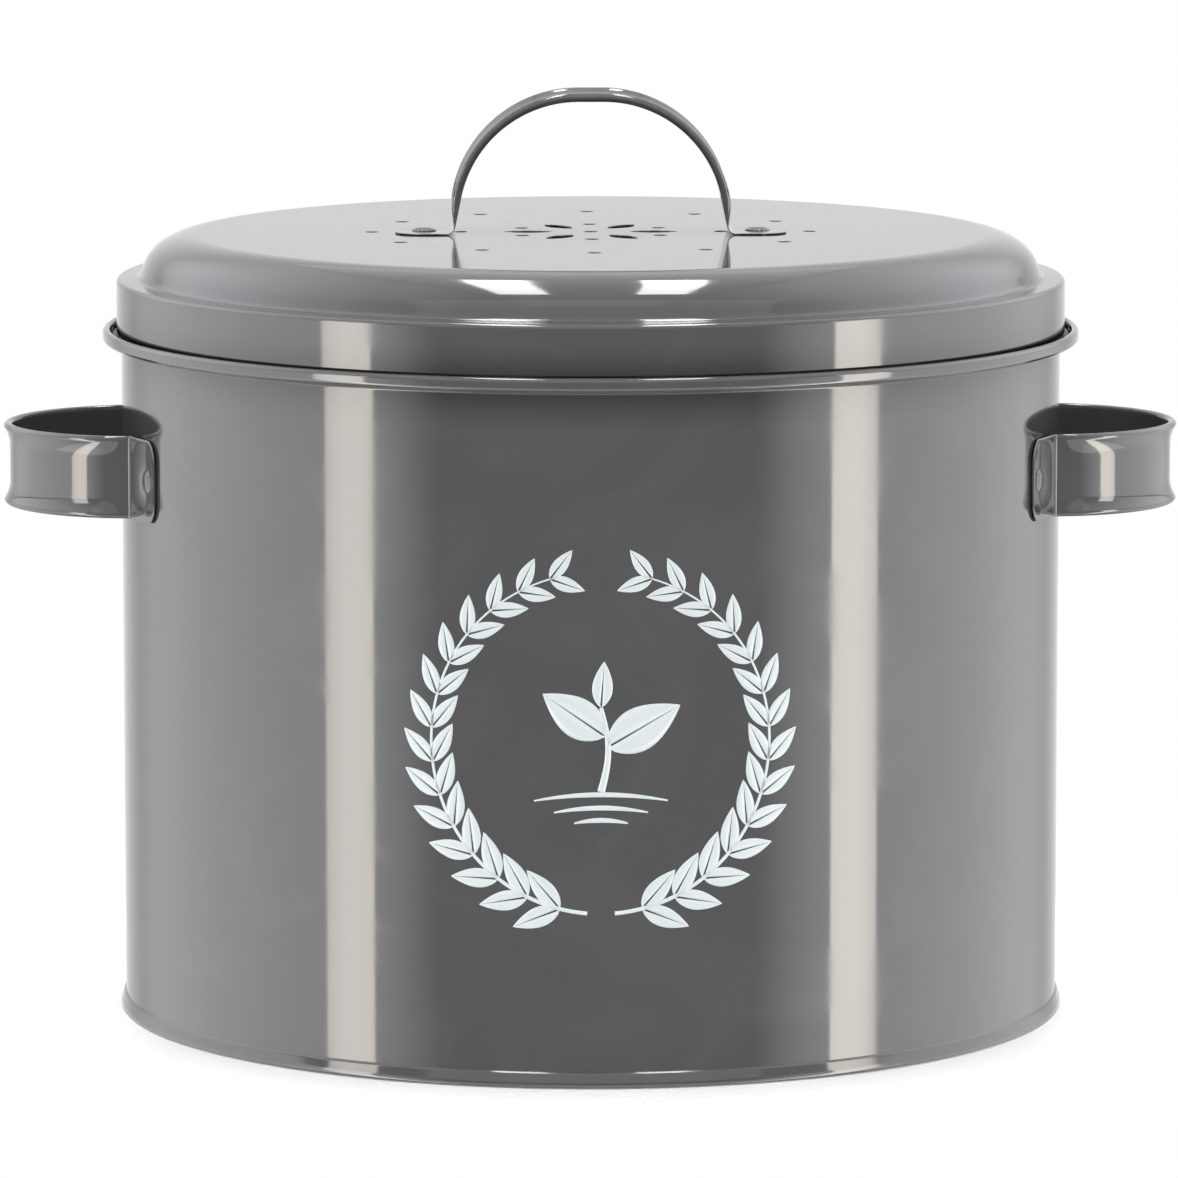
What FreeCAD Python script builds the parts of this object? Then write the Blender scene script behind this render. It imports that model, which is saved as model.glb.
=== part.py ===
import FreeCAD, Part
import math
import os

# Compost bin for a kitchen worktop: a rolled steel pail with a vented lid, a lift-out
# plastic liner with a wire bail, and a charcoal filter in a hinged tray under the lid.
# Sizes are millimetres and degrees. The origin is the middle of the ring that the pail
# stands on, +Z is up, the side handles point along +X and -X, the wall's seam is at +Y.

V = FreeCAD.Vector
ORIGIN = V(0, 0, 0)
ACROSS = V(1, 0, 0)
BACK = V(0, 1, 0)
UP = V(0, 0, 1)
FULL_TURN = 360.0
QUARTER_TURN = 90.0

# Stock and gaps shared by all pieces
SHEET = 0.5              # painted steel sheet of the wall, the base and the lid
STRAP_SHEET = 0.7        # steel strip of the three handles
STRAP_WIDTH = 19.2       # over the rolled edges of that strip
SEAT_GAP = 0.05          # between pieces that lie face to face
PIN_GAP = 0.05           # around a rivet or a pin in its hole
LOOSE_GAP = 0.3          # between curved faces of pieces that come apart
OVERRUN = 2.0            # by which a cutting shape passes the face that it cuts
SHORTEST_LINE = 0.001    # bends nearer than this meet with no line between them

# Pail wall and rim
PAIL_RADIUS = 110.0      # outside of the wall
PAIL_HEIGHT = 160.5      # from the ground to the top of the rim bead
BEAD_HEIGHT = 3.1        # curled rim bead, top to lower edge
BEAD_DEPTH = 1.8         # curled rim bead, from the trough to its outside
TROUGH_WIDTH = 2.6       # from the outside of the wall to the outer side of the trough
TROUGH_DEPTH = 3.1       # from the top of the bead to the trough's floor
TROUGH_BEND = 0.9        # bend of the sheet at both corners of the trough
WALL_SEAM_WIDTH = 5.0    # flattened lock seam down the back
WALL_SEAM_RISE = 0.6
WALL_SEAM_SETBACK = 0.8  # from the seam's ends to the base seam and the trough

# Base pan, clasped round the foot of the wall
BASE_RECESS = 4.5        # from the ground to the underside of the pan
BASE_BEND = 1.5          # bend of the pan into its upright side
FOOT_BEND = 0.5          # bend of the upright side into the foot
SEAM_HEIGHT = 3.4        # folded seam round the foot
SEAM_FOLD = 1.0
SEAM_ROUND = 0.45

# Side handles
HANDLE_DROP = 32.0       # from the top of the rim to the middle of the strap
HANDLE_BEND = 31.64      # round grip between the two legs
HANDLE_LEG = 7.58        # from the grip's bend to the corner between a leg and its tab
HANDLE_TAPER = 16.0      # turn of each leg towards the other
TAB_BEND = 1.2           # bend from each leg into the tab on the wall
TAB_RIVET_OFFSET = 8.0   # from the corner of a leg to the rivet beside it
TAB_BEYOND = 5.0         # from a rivet to the end of the tab
TAB_ROUND = 4.5          # corners of a tab's end
ROLL_HEIGHT = 3.3        # rolled edge of the strap
ROLL_RISE = 1.4
ROLL_ROUND = 1.2

# Rivets of all handles
RIVET_SHANK = 4.0
RIVET_HEAD = 5.8
RIVET_DOME = 1.0
RIVET_TAIL = 5.8
RIVET_TAIL_HEIGHT = 1.1
RIVET_TAIL_GAP = 0.1     # between the flat tail and the round inside of the wall

# Liner
LINER_WALL = 1.5
LINER_FLANGE_GAP = 0.6   # from the edge of the flange to the trough's outer side
LINER_TOP_GAP = 3.0      # between the liner and the wall, just under the flange
LINER_DRAFT = 6.0        # by which the liner narrows down to its floor
LINER_FLOOR_GAP = 9.0    # between the liner's floor and the pan
LINER_FLANGE_BEND = 2.0
LINER_FLOOR_BEND = 3.0

# Bail of the liner
BAIL_WIRE = 3.5
BAIL_DROP = 8.9          # from the top of the flange to the pivots
BAIL_CLEAR = 1.7         # from the inside of the liner to the grip, at the pivots' radius
BAIL_CORNER = 4.0        # bend of the wire into its pivots
BAIL_HEAD = 5.4          # upset ends of the wire outside the liner
BAIL_HEAD_LENGTH = 0.9
BAIL_GRIP = 9.0
BAIL_GRIP_TURN = 20.0    # half of the bail's round that the grip covers
BAIL_REST_TURN = 32.0    # from the middle of the bail to each nub that it rests on
BAIL_REST_WIDTH = 8.0
BAIL_REST_HEIGHT = 4.0
BAIL_REST_LIP = 2.0      # by which a nub reaches in past the middle of the wire

# Lid
LID_GAP = 1.5            # from the skirt to the trough's outer side
SKIRT_HEIGHT = 13.0      # from the hem to the corner above the skirt
HEM_DEPTH = 1.4          # the lower edge is turned in and up
HEM_HEIGHT = 4.0
LEDGE_WIDTH = 5.35       # sloping ledge between the skirt and the raised shoulder
LEDGE_SLOPE = 2.5
LEDGE_BEND = 1.0
STEP_BEND = 1.5          # hollow corner between the ledge and the shoulder
SHOULDER_STRAIGHT = 1.865  # straight part of the shoulder above that corner
SHOULDER_LOW_BEND = 9.8
SHOULDER_HIGH_BEND = 17.0
SHOULDER_STEEP = 70.0    # slope of the shoulder where it meets the ledge
SHOULDER_MIDDLE = 30.0   # slope of the shoulder where its two bends meet

# Vents through the lid's flat top
VENT_DIAMETER = 3.2
VENT_OUTER_RADIUS = 51.2
VENT_OUTER_COUNT = 12
VENT_INNER_RADIUS = 18.6
VENT_INNER_COUNT = 6
VENT_FOOT_INSET = 1.74   # from the corner of each leg of the handle to the vent beside it
LEAF_COUNT = 6
LEAF_START = 9.0
LEAF_END = 20.5
LEAF_WIDTH = 5.0

# Lid handle
LID_HANDLE_BEND = 28.25  # bend from each leg into the top of the arch
LID_HANDLE_FLAT = 5.9    # straight part of the arch between these bends
LID_HANDLE_LEG = 6.93    # straight part of each leg between its two bends
LID_LEG_LEAN = 11.5      # by which each leg leans in from its foot
LID_FOOT_BEND = 2.0
LID_FOOT_REACH = 13.4    # from the corner of a leg to the end of its foot
LID_FOOT_ROUND = 6.0
LID_RIVET_OFFSET = 6.71  # from the corner of a leg to the rivet beside it

# Filter, its holder under the lid and the hinged tray
FILTER_MARGIN = 3.5      # by which the filter covers the outer vents
FILTER_THICKNESS = 5.8
FILTER_ROUND = 0.8
FILTER_GAP = 0.6         # between the filter and the rivets above it
TRAY_WALL = 1.4
TRAY_HEIGHT = 3.0
TRAY_FLOOR = 2.0
TRAY_RIB = 3.0           # rings and spokes of the tray's grille
TRAY_HUB = 9.0           # radius of the plain middle of the grille
TRAY_RINGS = 4
TRAY_SPOKES = 6
HOLDER_WALL = 2.5
LUG_THICKNESS = 1.8
LUG_WIDTH = 12.0
LUG_BEYOND = 6.0         # from a rivet to the end of its lug
LUG_VENT = 5.0           # hole through a lug below a vent
HINGE_PIN = 2.0
KNUCKLE = 4.4
KNUCKLE_GAP = 0.25       # between the ends of neighbouring knuckles
HOLDER_KNUCKLE_LENGTH = 6.0
TRAY_KNUCKLE_LENGTH = 11.0
HINGE_OFFSET = 3.7       # from the outside of the holder to the hinge line
HINGE_ARM = 3.0
LATCH_WIDTH = 10.0
LATCH_THICKNESS = 1.2
LATCH_HEIGHT = 5.8
THUMB_LIP = 3.0

# Places that follow from the sizes above
WALL_INSIDE = PAIL_RADIUS - SHEET
TROUGH_RADIUS = PAIL_RADIUS + TROUGH_WIDTH
TROUGH_FLOOR = PAIL_HEIGHT - TROUGH_DEPTH
BEAD_RADIUS = TROUGH_RADIUS + BEAD_DEPTH
WALL_FOOT = SHEET + SEAT_GAP
SEAM_INSIDE = PAIL_RADIUS + SEAT_GAP
STRAP_HALF = STRAP_SHEET / 2
HANDLE_HEIGHT = PAIL_HEIGHT - HANDLE_DROP

FLANGE_BOTTOM = TROUGH_FLOOR + SEAT_GAP
FLANGE_TOP = FLANGE_BOTTOM + LINER_WALL
LINER_BOTTOM = BASE_RECESS + SHEET + LINER_FLOOR_GAP
LINER_TOP_RADIUS = WALL_INSIDE - LINER_TOP_GAP
BAIL_HEIGHT = FLANGE_TOP - BAIL_DROP

LID_RADIUS = TROUGH_RADIUS - LID_GAP
LID_SEAT = FLANGE_TOP + SEAT_GAP
SKIRT_TOP = LID_SEAT + SKIRT_HEIGHT


def half_tangent(turn):
    """Tangent of half a turn given in degrees: a bend's reach for a radius of 1."""
    return math.tan(math.radians(turn) / 2)


def cosine(degrees):
    return math.cos(math.radians(degrees))


def sine(degrees):
    return math.sin(math.radians(degrees))


SHOULDER_RUN = (
    SHOULDER_HIGH_BEND * half_tangent(SHOULDER_MIDDLE)
    + SHOULDER_LOW_BEND * half_tangent(SHOULDER_STEEP - SHOULDER_MIDDLE)
)
STEP_RUN = (
    SHOULDER_LOW_BEND * half_tangent(SHOULDER_STEEP - SHOULDER_MIDDLE)
    + SHOULDER_STRAIGHT
    + STEP_BEND * half_tangent(SHOULDER_STEEP - LEDGE_SLOPE)
)
STEP_RADIUS = LID_RADIUS - LEDGE_WIDTH
STEP_HEIGHT = SKIRT_TOP + LEDGE_WIDTH * math.tan(math.radians(LEDGE_SLOPE))
SHOULDER_RADIUS = STEP_RADIUS - STEP_RUN * cosine(SHOULDER_STEEP)
SHOULDER_HEIGHT = STEP_HEIGHT + STEP_RUN * sine(SHOULDER_STEEP)
CROWN_RADIUS = SHOULDER_RADIUS - SHOULDER_RUN * cosine(SHOULDER_MIDDLE)
LID_TOP = SHOULDER_HEIGHT + SHOULDER_RUN * sine(SHOULDER_MIDDLE)
LID_UNDER = LID_TOP - SHEET

HANDLE_RUN = HANDLE_BEND * half_tangent(2 * (QUARTER_TURN - HANDLE_TAPER)) + HANDLE_LEG
HANDLE_SPAN = 2 * HANDLE_RUN * sine(HANDLE_TAPER)

ARCH_REACH = LID_HANDLE_BEND * half_tangent(QUARTER_TURN - LID_LEG_LEAN)
FOOT_REACH = LID_FOOT_BEND * half_tangent(QUARTER_TURN - LID_LEG_LEAN)
LEG_RUN = FOOT_REACH + LID_HANDLE_LEG + ARCH_REACH
ARCH_CORNER = LID_HANDLE_FLAT / 2 + ARCH_REACH
LID_LEG = ARCH_CORNER + LEG_RUN * sine(LID_LEG_LEAN)
LID_RIVET_X = LID_LEG + LID_RIVET_OFFSET
VENT_FOOT_RADIUS = LID_LEG - VENT_FOOT_INSET
FOOT_UNDER = LID_TOP + SEAT_GAP
FOOT_TOP = FOOT_UNDER + STRAP_SHEET

HOLDER_TOP = LID_UNDER - SEAT_GAP
LUG_UNDER = HOLDER_TOP - LUG_THICKNESS
FILTER_TOP = LUG_UNDER - SEAT_GAP - RIVET_TAIL_HEIGHT - FILTER_GAP
FILTER_BOTTOM = FILTER_TOP - FILTER_THICKNESS
TRAY_TOP = FILTER_BOTTOM - SEAT_GAP
TRAY_BOTTOM = TRAY_TOP - TRAY_FLOOR
HOLDER_BOTTOM = TRAY_TOP + LOOSE_GAP
FILTER_RADIUS = VENT_OUTER_RADIUS + VENT_DIAMETER / 2 + FILTER_MARGIN
TRAY_INSIDE = FILTER_RADIUS + LOOSE_GAP
TRAY_OUTSIDE = TRAY_INSIDE + TRAY_WALL
HOLDER_INSIDE = TRAY_OUTSIDE + LOOSE_GAP
HOLDER_OUTSIDE = HOLDER_INSIDE + HOLDER_WALL
HINGE_Y = HOLDER_OUTSIDE + HINGE_OFFSET
HINGE_Z = (TRAY_TOP + TRAY_BOTTOM) / 2


def in_section(u, v):
    """Point of the upright XZ plane, u from the axis and v above the ground."""
    return V(u, 0, v)


def in_plan(u, v):
    return V(u, v, 0)


def offset_edges(points, bends, offset, plane):
    """Lines and arcs that run beside a bent path.

    The path goes through the points and is rounded at each inner point by that point's
    bend radius. The edges keep the offset from it, to the left of its direction.
    """
    path = [V(u, v, 0) for u, v in points]
    edges = []
    heading = (path[1] - path[0]).normalize()
    start = path[0] + UP.cross(heading) * offset
    for corner, after, bend in zip(path[1:-1], path[2:], bends):
        leaving = (after - corner).normalize()
        turn = math.atan2(heading.cross(leaving).z, heading.dot(leaving))
        side = math.copysign(1, turn)
        reach = bend * math.tan(abs(turn) / 2)
        left_in = UP.cross(heading)
        left_out = UP.cross(leaving)
        inward = (left_in + left_out).normalize() * side
        centre = corner + inward * (bend / math.cos(turn / 2))
        entry = corner - heading * reach + left_in * offset
        middle = centre - inward * (bend - side * offset)
        leave = corner + leaving * reach + left_out * offset
        add_line(edges, start, entry, plane)
        arc = Part.Arc(plane(entry.x, entry.y), plane(middle.x, middle.y), plane(leave.x, leave.y))
        edges.append(arc.toShape())
        start = leave
        heading = leaving
    add_line(edges, start, path[-1] + UP.cross(heading) * offset, plane)
    return edges


def add_line(edges, start, end, plane):
    """Add a straight edge, unless two bends meet here with nothing between them."""
    if (end - start).Length > SHORTEST_LINE:
        edges.append(Part.LineSegment(plane(start.x, start.y), plane(end.x, end.y)).toShape())


def sheet_face(points, bends, left, right, plane):
    """Section of a bent sheet between two offsets from a path, left of it being positive."""
    left_edges = offset_edges(points, bends, left, plane)
    right_edges = offset_edges(points, bends, right, plane)
    first = Part.makeLine(left_edges[0].firstVertex(True).Point, right_edges[0].firstVertex(True).Point)
    last = Part.makeLine(left_edges[-1].lastVertex(True).Point, right_edges[-1].lastVertex(True).Point)
    outline = Part.Wire(Part.__sortEdges__(left_edges + [last] + right_edges + [first]))
    return Part.Face(outline)


def turned(face):
    """Solid swept by a section that turns once round the axis of the bin."""
    return face.revolve(ORIGIN, UP, FULL_TURN)


def ring(inside, outside, bottom, top):
    """Upright tube round the axis of the bin."""
    outer = Part.makeCylinder(outside, top - bottom, V(0, 0, bottom))
    inner = Part.makeCylinder(inside, top - bottom + 2 * OVERRUN, V(0, 0, bottom - OVERRUN))
    return outer.cut(inner)


def block(x_range, y_range, z_range):
    """Box between two corners, given as a lowest and a highest value along each axis."""
    lows, highs = zip(x_range, y_range, z_range)
    return Part.makeBox(*(high - low for low, high in zip(lows, highs)), V(*lows))


def spun(shape, degrees):
    """Copy of a shape turned round the axis of the bin."""
    copy = shape.copy()
    copy.rotate(ORIGIN, UP, degrees)
    return copy


def mirrored_x(shape):
    return shape.mirror(ORIGIN, ACROSS)


def joined(first, *others):
    """One solid out of shapes that overlap or share a face."""
    whole = first.fuse(list(others)).removeSplitter()
    return whole.Solids[0] if len(whole.Solids) == 1 else whole


def round_rod(radius, start, end):
    along = end - start
    return Part.makeCylinder(radius, along.Length, start, along)


def swept_rod(radius, edges):
    """Round bar along a path of lines and arcs that meet smoothly."""
    spine = Part.Wire(edges)
    start = edges[0].valueAt(edges[0].FirstParameter)
    heading = edges[0].tangentAt(edges[0].FirstParameter)
    profile = Part.Wire(Part.makeCircle(radius, start, heading))
    return Part.Solid(spine.makePipeShell([profile], True, False))


def rivet(grip):
    """Rivet along Z with the seat of its domed head at the origin and its tail below."""
    head = RIVET_HEAD / 2
    shank = RIVET_SHANK / 2
    tail = RIVET_TAIL / 2
    dome_radius = (head**2 + RIVET_DOME**2) / (2 * RIVET_DOME)
    half_way = math.asin(head / dome_radius) / 2
    dome_centre = RIVET_DOME - dome_radius
    crown = in_section(dome_radius * math.sin(half_way), dome_centre + dome_radius * math.cos(half_way))
    tail_end = -grip - RIVET_TAIL_HEIGHT
    corners = [(head, 0), (shank, 0), (shank, -grip), (tail, -grip), (tail, tail_end), (0, tail_end)]
    points = [in_section(*corner) for corner in corners] + [in_section(0, RIVET_DOME)]
    lines = [Part.makeLine(a, b) for a, b in zip(points, points[1:])]
    dome = Part.Arc(points[-1], crown, points[0]).toShape()
    return turned(Part.Face(Part.Wire(lines + [dome])))


def placed(shape, base, direction):
    """Copy of a shape with its origin at a point and its Z axis along a direction."""
    copy = shape.copy()
    copy.Placement = FreeCAD.Placement(base, FreeCAD.Rotation(UP, direction))
    return copy


def rounded_ends(solid, thickness, radius, is_end):
    """Round the corners of a strip's ends: short edges across the sheet where is_end holds."""
    edges = [
        edge
        for edge in solid.Edges
        if abs(edge.Length - thickness) < SEAT_GAP and is_end(edge.CenterOfMass)
    ]
    return solid.makeFillet(radius, edges)


def edge_middle(edge):
    return edge.valueAt((edge.FirstParameter + edge.LastParameter) / 2)


def rolled_edge(points, bends, plane, lift, rise):
    """Rolled edge of a strap along its grip, from one level to another across the strap.

    The roll is flush with the inside of the strap and stands proud on the outside, where
    its two long edges are rounded.
    """
    outside = STRAP_HALF + ROLL_RISE
    face = sheet_face(points, bends, outside, -STRAP_HALF, plane)
    face.translate(lift)
    roll = face.extrude(rise)
    outer_edges = offset_edges(points, bends, outside, plane)
    middles = [edge_middle(edge) + lift for edge in outer_edges]
    middles += [middle + rise for middle in middles]
    long_edges = [
        edge
        for edge in roll.Edges
        if any(middle.distanceToPoint(edge_middle(edge)) < SEAT_GAP for middle in middles)
    ]
    return roll.makeFillet(ROLL_ROUND, long_edges)


def strip(points, bends, plane, across):
    """Bent strip of a handle, from the end of one tab to the end of the other."""
    face = sheet_face(points, bends, STRAP_HALF, -STRAP_HALF, plane)
    width = across * STRAP_WIDTH
    face.translate(-width / 2)
    return face.extrude(width)


def rolls(points, bends, plane, across):
    """Both rolled edges of a strap, along its legs and grip but not its tabs."""
    half_width = across * (STRAP_WIDTH / 2)
    rise = across * ROLL_HEIGHT
    return [
        rolled_edge(points, bends, plane, -half_width, rise),
        rolled_edge(points, bends, plane, half_width - rise, rise),
    ]


def pail_wall():
    """Rolled wall, turned out into a trough and up into a curled bead, with its back seam."""
    wall_line = PAIL_RADIUS - SHEET / 2
    trough_line = TROUGH_RADIUS + SHEET / 2
    bead_line = BEAD_RADIUS - SHEET / 2
    floor_line = TROUGH_FLOOR - SHEET / 2
    top_line = PAIL_HEIGHT - SHEET / 2
    curl = (bead_line - trough_line) / 2
    points = [
        (wall_line, WALL_FOOT),
        (wall_line, floor_line),
        (trough_line, floor_line),
        (trough_line, top_line),
        (bead_line, top_line),
        (bead_line, PAIL_HEIGHT - BEAD_HEIGHT),
    ]
    bends = [TROUGH_BEND, TROUGH_BEND, curl, curl]
    wall = turned(sheet_face(points, bends, SHEET / 2, -SHEET / 2, in_section))
    seam_low = SEAM_HEIGHT + WALL_SEAM_SETBACK
    seam_high = TROUGH_FLOOR - SHEET - TROUGH_BEND - WALL_SEAM_SETBACK
    band = ring(wall_line, PAIL_RADIUS + WALL_SEAM_RISE, seam_low, seam_high)
    half_seam = WALL_SEAM_WIDTH / 2
    column = block((-half_seam, half_seam), (0, BEAD_RADIUS), (0, PAIL_HEIGHT))
    wall = joined(wall, band.common(column))
    return wall.cut(side_rivet_holes())


def base_pan():
    """Recessed pan whose edge goes down inside the wall, under its foot and up outside it."""
    side_line = WALL_INSIDE - SEAT_GAP - SHEET / 2
    pan_line = BASE_RECESS + SHEET / 2
    foot_line = SHEET / 2
    points = [
        (0, pan_line),
        (side_line, pan_line),
        (side_line, foot_line),
        (PAIL_RADIUS + SEAM_FOLD / 2, foot_line),
    ]
    pan = turned(sheet_face(points, [BASE_BEND, FOOT_BEND], SHEET / 2, -SHEET / 2, in_section))
    fold = ring(SEAM_INSIDE, SEAM_INSIDE + SEAM_FOLD, 0, SEAM_HEIGHT)
    outer_rims = [
        edge
        for edge in fold.Edges
        if isinstance(edge.Curve, Part.Circle) and edge.Curve.Radius > SEAM_INSIDE + SEAM_FOLD / 2
    ]
    return joined(pan, fold.makeFillet(SEAM_ROUND, outer_rims))


def side_rivet_turn():
    """Angle from the X axis to a side handle's rivet."""
    rivet_y = HANDLE_SPAN / 2 + TAB_RIVET_OFFSET
    return math.degrees(math.asin(rivet_y / (PAIL_RADIUS + SEAT_GAP + STRAP_HALF)))


def side_rivet_seats():
    """Seat of each rivet on the right handle's tabs, with its direction outwards."""
    seats = []
    for turn in (-side_rivet_turn(), side_rivet_turn()):
        outward = V(cosine(turn), sine(turn), 0)
        seats.append((outward * (PAIL_RADIUS + SEAT_GAP + STRAP_SHEET) + UP * HANDLE_HEIGHT, outward))
    return seats


def side_rivet_holes():
    """Bores for the rivets of both side handles, through the tabs and the wall."""
    bores = []
    for seat, outward in side_rivet_seats():
        depth = outward * (STRAP_SHEET + SHEET + OVERRUN)
        bores.append(round_rod(RIVET_SHANK / 2 + PIN_GAP, seat - depth, seat + outward * OVERRUN))
    bores += [mirrored_x(bore) for bore in bores]
    return Part.makeCompound(bores)


def side_handle():
    """Right side handle: two flat tabs on the wall, joined by a rounded loop."""
    leg = HANDLE_SPAN / 2
    turn = side_rivet_turn()
    tab_line = PAIL_RADIUS + SEAT_GAP + STRAP_HALF
    bend_x = (tab_line - leg * sine(turn)) / cosine(turn)
    end_x = tab_line * cosine(turn) - TAB_BEYOND * sine(turn)
    end_y = tab_line * sine(turn) + TAB_BEYOND * cosine(turn)
    reach = TAB_BEND * half_tangent(QUARTER_TURN - turn - HANDLE_TAPER)
    start_x = bend_x + reach * cosine(HANDLE_TAPER)
    start_y = leg - reach * sine(HANDLE_TAPER)
    apex = bend_x + HANDLE_RUN * cosine(HANDLE_TAPER)
    points = [(end_x, end_y), (bend_x, leg), (apex, 0), (bend_x, -leg), (end_x, -end_y)]
    web = strip(points, [TAB_BEND, HANDLE_BEND, TAB_BEND], in_plan, UP)
    loop = [(start_x, start_y), (apex, 0), (start_x, -start_y)]
    web = rounded_ends(web, STRAP_SHEET, TAB_ROUND, lambda middle: abs(middle.y) > leg + TAB_RIVET_OFFSET)
    handle = joined(web, *rolls(loop, [HANDLE_BEND], in_plan, UP))
    handle.translate(UP * HANDLE_HEIGHT)
    return handle.cut(side_rivet_holes())


def side_rivets():
    """The right handle's two rivets, from the domed heads to the tails inside the wall."""
    grip = STRAP_SHEET + SEAT_GAP + SHEET + RIVET_TAIL_GAP
    pair = [placed(rivet(grip), seat, outward) for seat, outward in side_rivet_seats()]
    return Part.makeCompound(pair)


def liner_wall_line(height):
    """Radius of the middle of the liner's wall at a height."""
    top_line = LINER_TOP_RADIUS - LINER_WALL / 2
    share = (FLANGE_TOP - height) / (FLANGE_TOP - LINER_BOTTOM)
    return top_line - LINER_DRAFT * share


def bail_radius():
    """Distance from the bin's axis to the middle of the bail's wire at its pivots."""
    return liner_wall_line(BAIL_HEIGHT) - LINER_WALL / 2 - BAIL_CLEAR - BAIL_GRIP / 2


def liner_bucket():
    """Tapered bucket with a flange, two pivot holes and two nubs that carry the folded bail."""
    floor_line = LINER_BOTTOM + LINER_WALL / 2
    flange_line = FLANGE_TOP - LINER_WALL / 2
    points = [
        (0, floor_line),
        (liner_wall_line(floor_line), floor_line),
        (liner_wall_line(flange_line), flange_line),
        (TROUGH_RADIUS - LINER_FLANGE_GAP, flange_line),
    ]
    bends = [LINER_FLOOR_BEND, LINER_FLANGE_BEND]
    bucket = turned(sheet_face(points, bends, LINER_WALL / 2, -LINER_WALL / 2, in_section))
    nub_top = BAIL_HEIGHT - BAIL_WIRE / 2 - LOOSE_GAP
    nub = block(
        (-BAIL_REST_WIDTH / 2, BAIL_REST_WIDTH / 2),
        (bail_radius() - BAIL_REST_LIP, liner_wall_line(nub_top - BAIL_REST_HEIGHT)),
        (nub_top - BAIL_REST_HEIGHT, nub_top),
    )
    bucket = joined(bucket, spun(nub, BAIL_REST_TURN), spun(nub, -BAIL_REST_TURN))
    reach = ACROSS * TROUGH_RADIUS
    level = UP * BAIL_HEIGHT
    return bucket.cut(round_rod(BAIL_WIRE / 2 + PIN_GAP, level - reach, level + reach))


def bail_end():
    """Distance from the bin's axis to the bail's outer ends."""
    outside = liner_wall_line(BAIL_HEIGHT) + LINER_WALL / 2
    return outside + LOOSE_GAP + BAIL_HEAD_LENGTH


def bail_wire():
    """Wire bow folded down to the back, with both ends turned out through the liner."""
    radius = bail_radius()
    end = bail_end()
    points = [(end, 0), (radius, 0), (radius, radius), (-radius, radius), (-radius, 0), (-end, 0)]
    round_bend = radius - BAIL_CORNER
    bends = [BAIL_CORNER, round_bend, round_bend, BAIL_CORNER]
    bow = swept_rod(BAIL_WIRE / 2, offset_edges(points, bends, 0, in_plan))
    head = round_rod(BAIL_HEAD / 2, ACROSS * (end - BAIL_HEAD_LENGTH), ACROSS * end)
    bail = joined(bow, head, mirrored_x(head))
    bail.translate(UP * BAIL_HEIGHT)
    return bail


def grip_path():
    """Middle of the bail's round, as far to each side as the grip reaches."""
    bend = bail_radius() - BAIL_CORNER
    centre = V(BAIL_CORNER, BAIL_CORNER, 0)

    def on_bend(turn):
        return centre + V(bend * sine(turn), bend * cosine(turn), 0)

    right = [on_bend(BAIL_GRIP_TURN), on_bend(BAIL_GRIP_TURN / 2), on_bend(0)]
    left = [V(-point.x, point.y, 0) for point in reversed(right)]
    middle = Part.makeLine(right[-1], left[0])
    return [Part.Arc(*right).toShape(), middle, Part.Arc(*left).toShape()]


def bail_grip():
    """Plastic tube on the middle of the bail."""
    tube = swept_rod(BAIL_GRIP / 2, grip_path())
    bore = swept_rod(BAIL_WIRE / 2 + PIN_GAP, grip_path())
    grip = tube.cut(bore)
    grip.translate(UP * BAIL_HEIGHT)
    return grip


def vent_places():
    """Centres of the round vents in plan."""
    places = [(0, 0), (VENT_FOOT_RADIUS, 0), (-VENT_FOOT_RADIUS, 0)]
    rings = [(VENT_OUTER_RADIUS, VENT_OUTER_COUNT, 0), (VENT_INNER_RADIUS, VENT_INNER_COUNT, 1 / 2)]
    for radius, count, first_share in rings:
        step = FULL_TURN / count
        turns = [step * (index + first_share) for index in range(count)]
        places += [(radius * cosine(turn), radius * sine(turn)) for turn in turns]
    return places


def leaf_vent():
    """Slot between two equal arcs that meet in a point at both ends."""
    middle = (LEAF_START + LEAF_END) / 2
    start = in_plan(LEAF_START, 0)
    end = in_plan(LEAF_END, 0)
    sides = [
        Part.Arc(start, in_plan(middle, LEAF_WIDTH / 2), end).toShape(),
        Part.Arc(end, in_plan(middle, -LEAF_WIDTH / 2), start).toShape(),
    ]
    face = Part.Face(Part.Wire(sides))
    face.translate(UP * (LID_UNDER - OVERRUN))
    return face.extrude(UP * (SHEET + 2 * OVERRUN))


def lid_rivet_holes():
    """Bores for the lid's two rivets, through the feet, the lid and the holder's lugs."""
    low = LUG_UNDER - OVERRUN
    length = FOOT_TOP + OVERRUN - low
    radius = RIVET_SHANK / 2 + PIN_GAP
    places = [V(x, 0, low) for x in (-LID_RIVET_X, LID_RIVET_X)]
    return Part.makeCompound([Part.makeCylinder(radius, length, place) for place in places])


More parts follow.
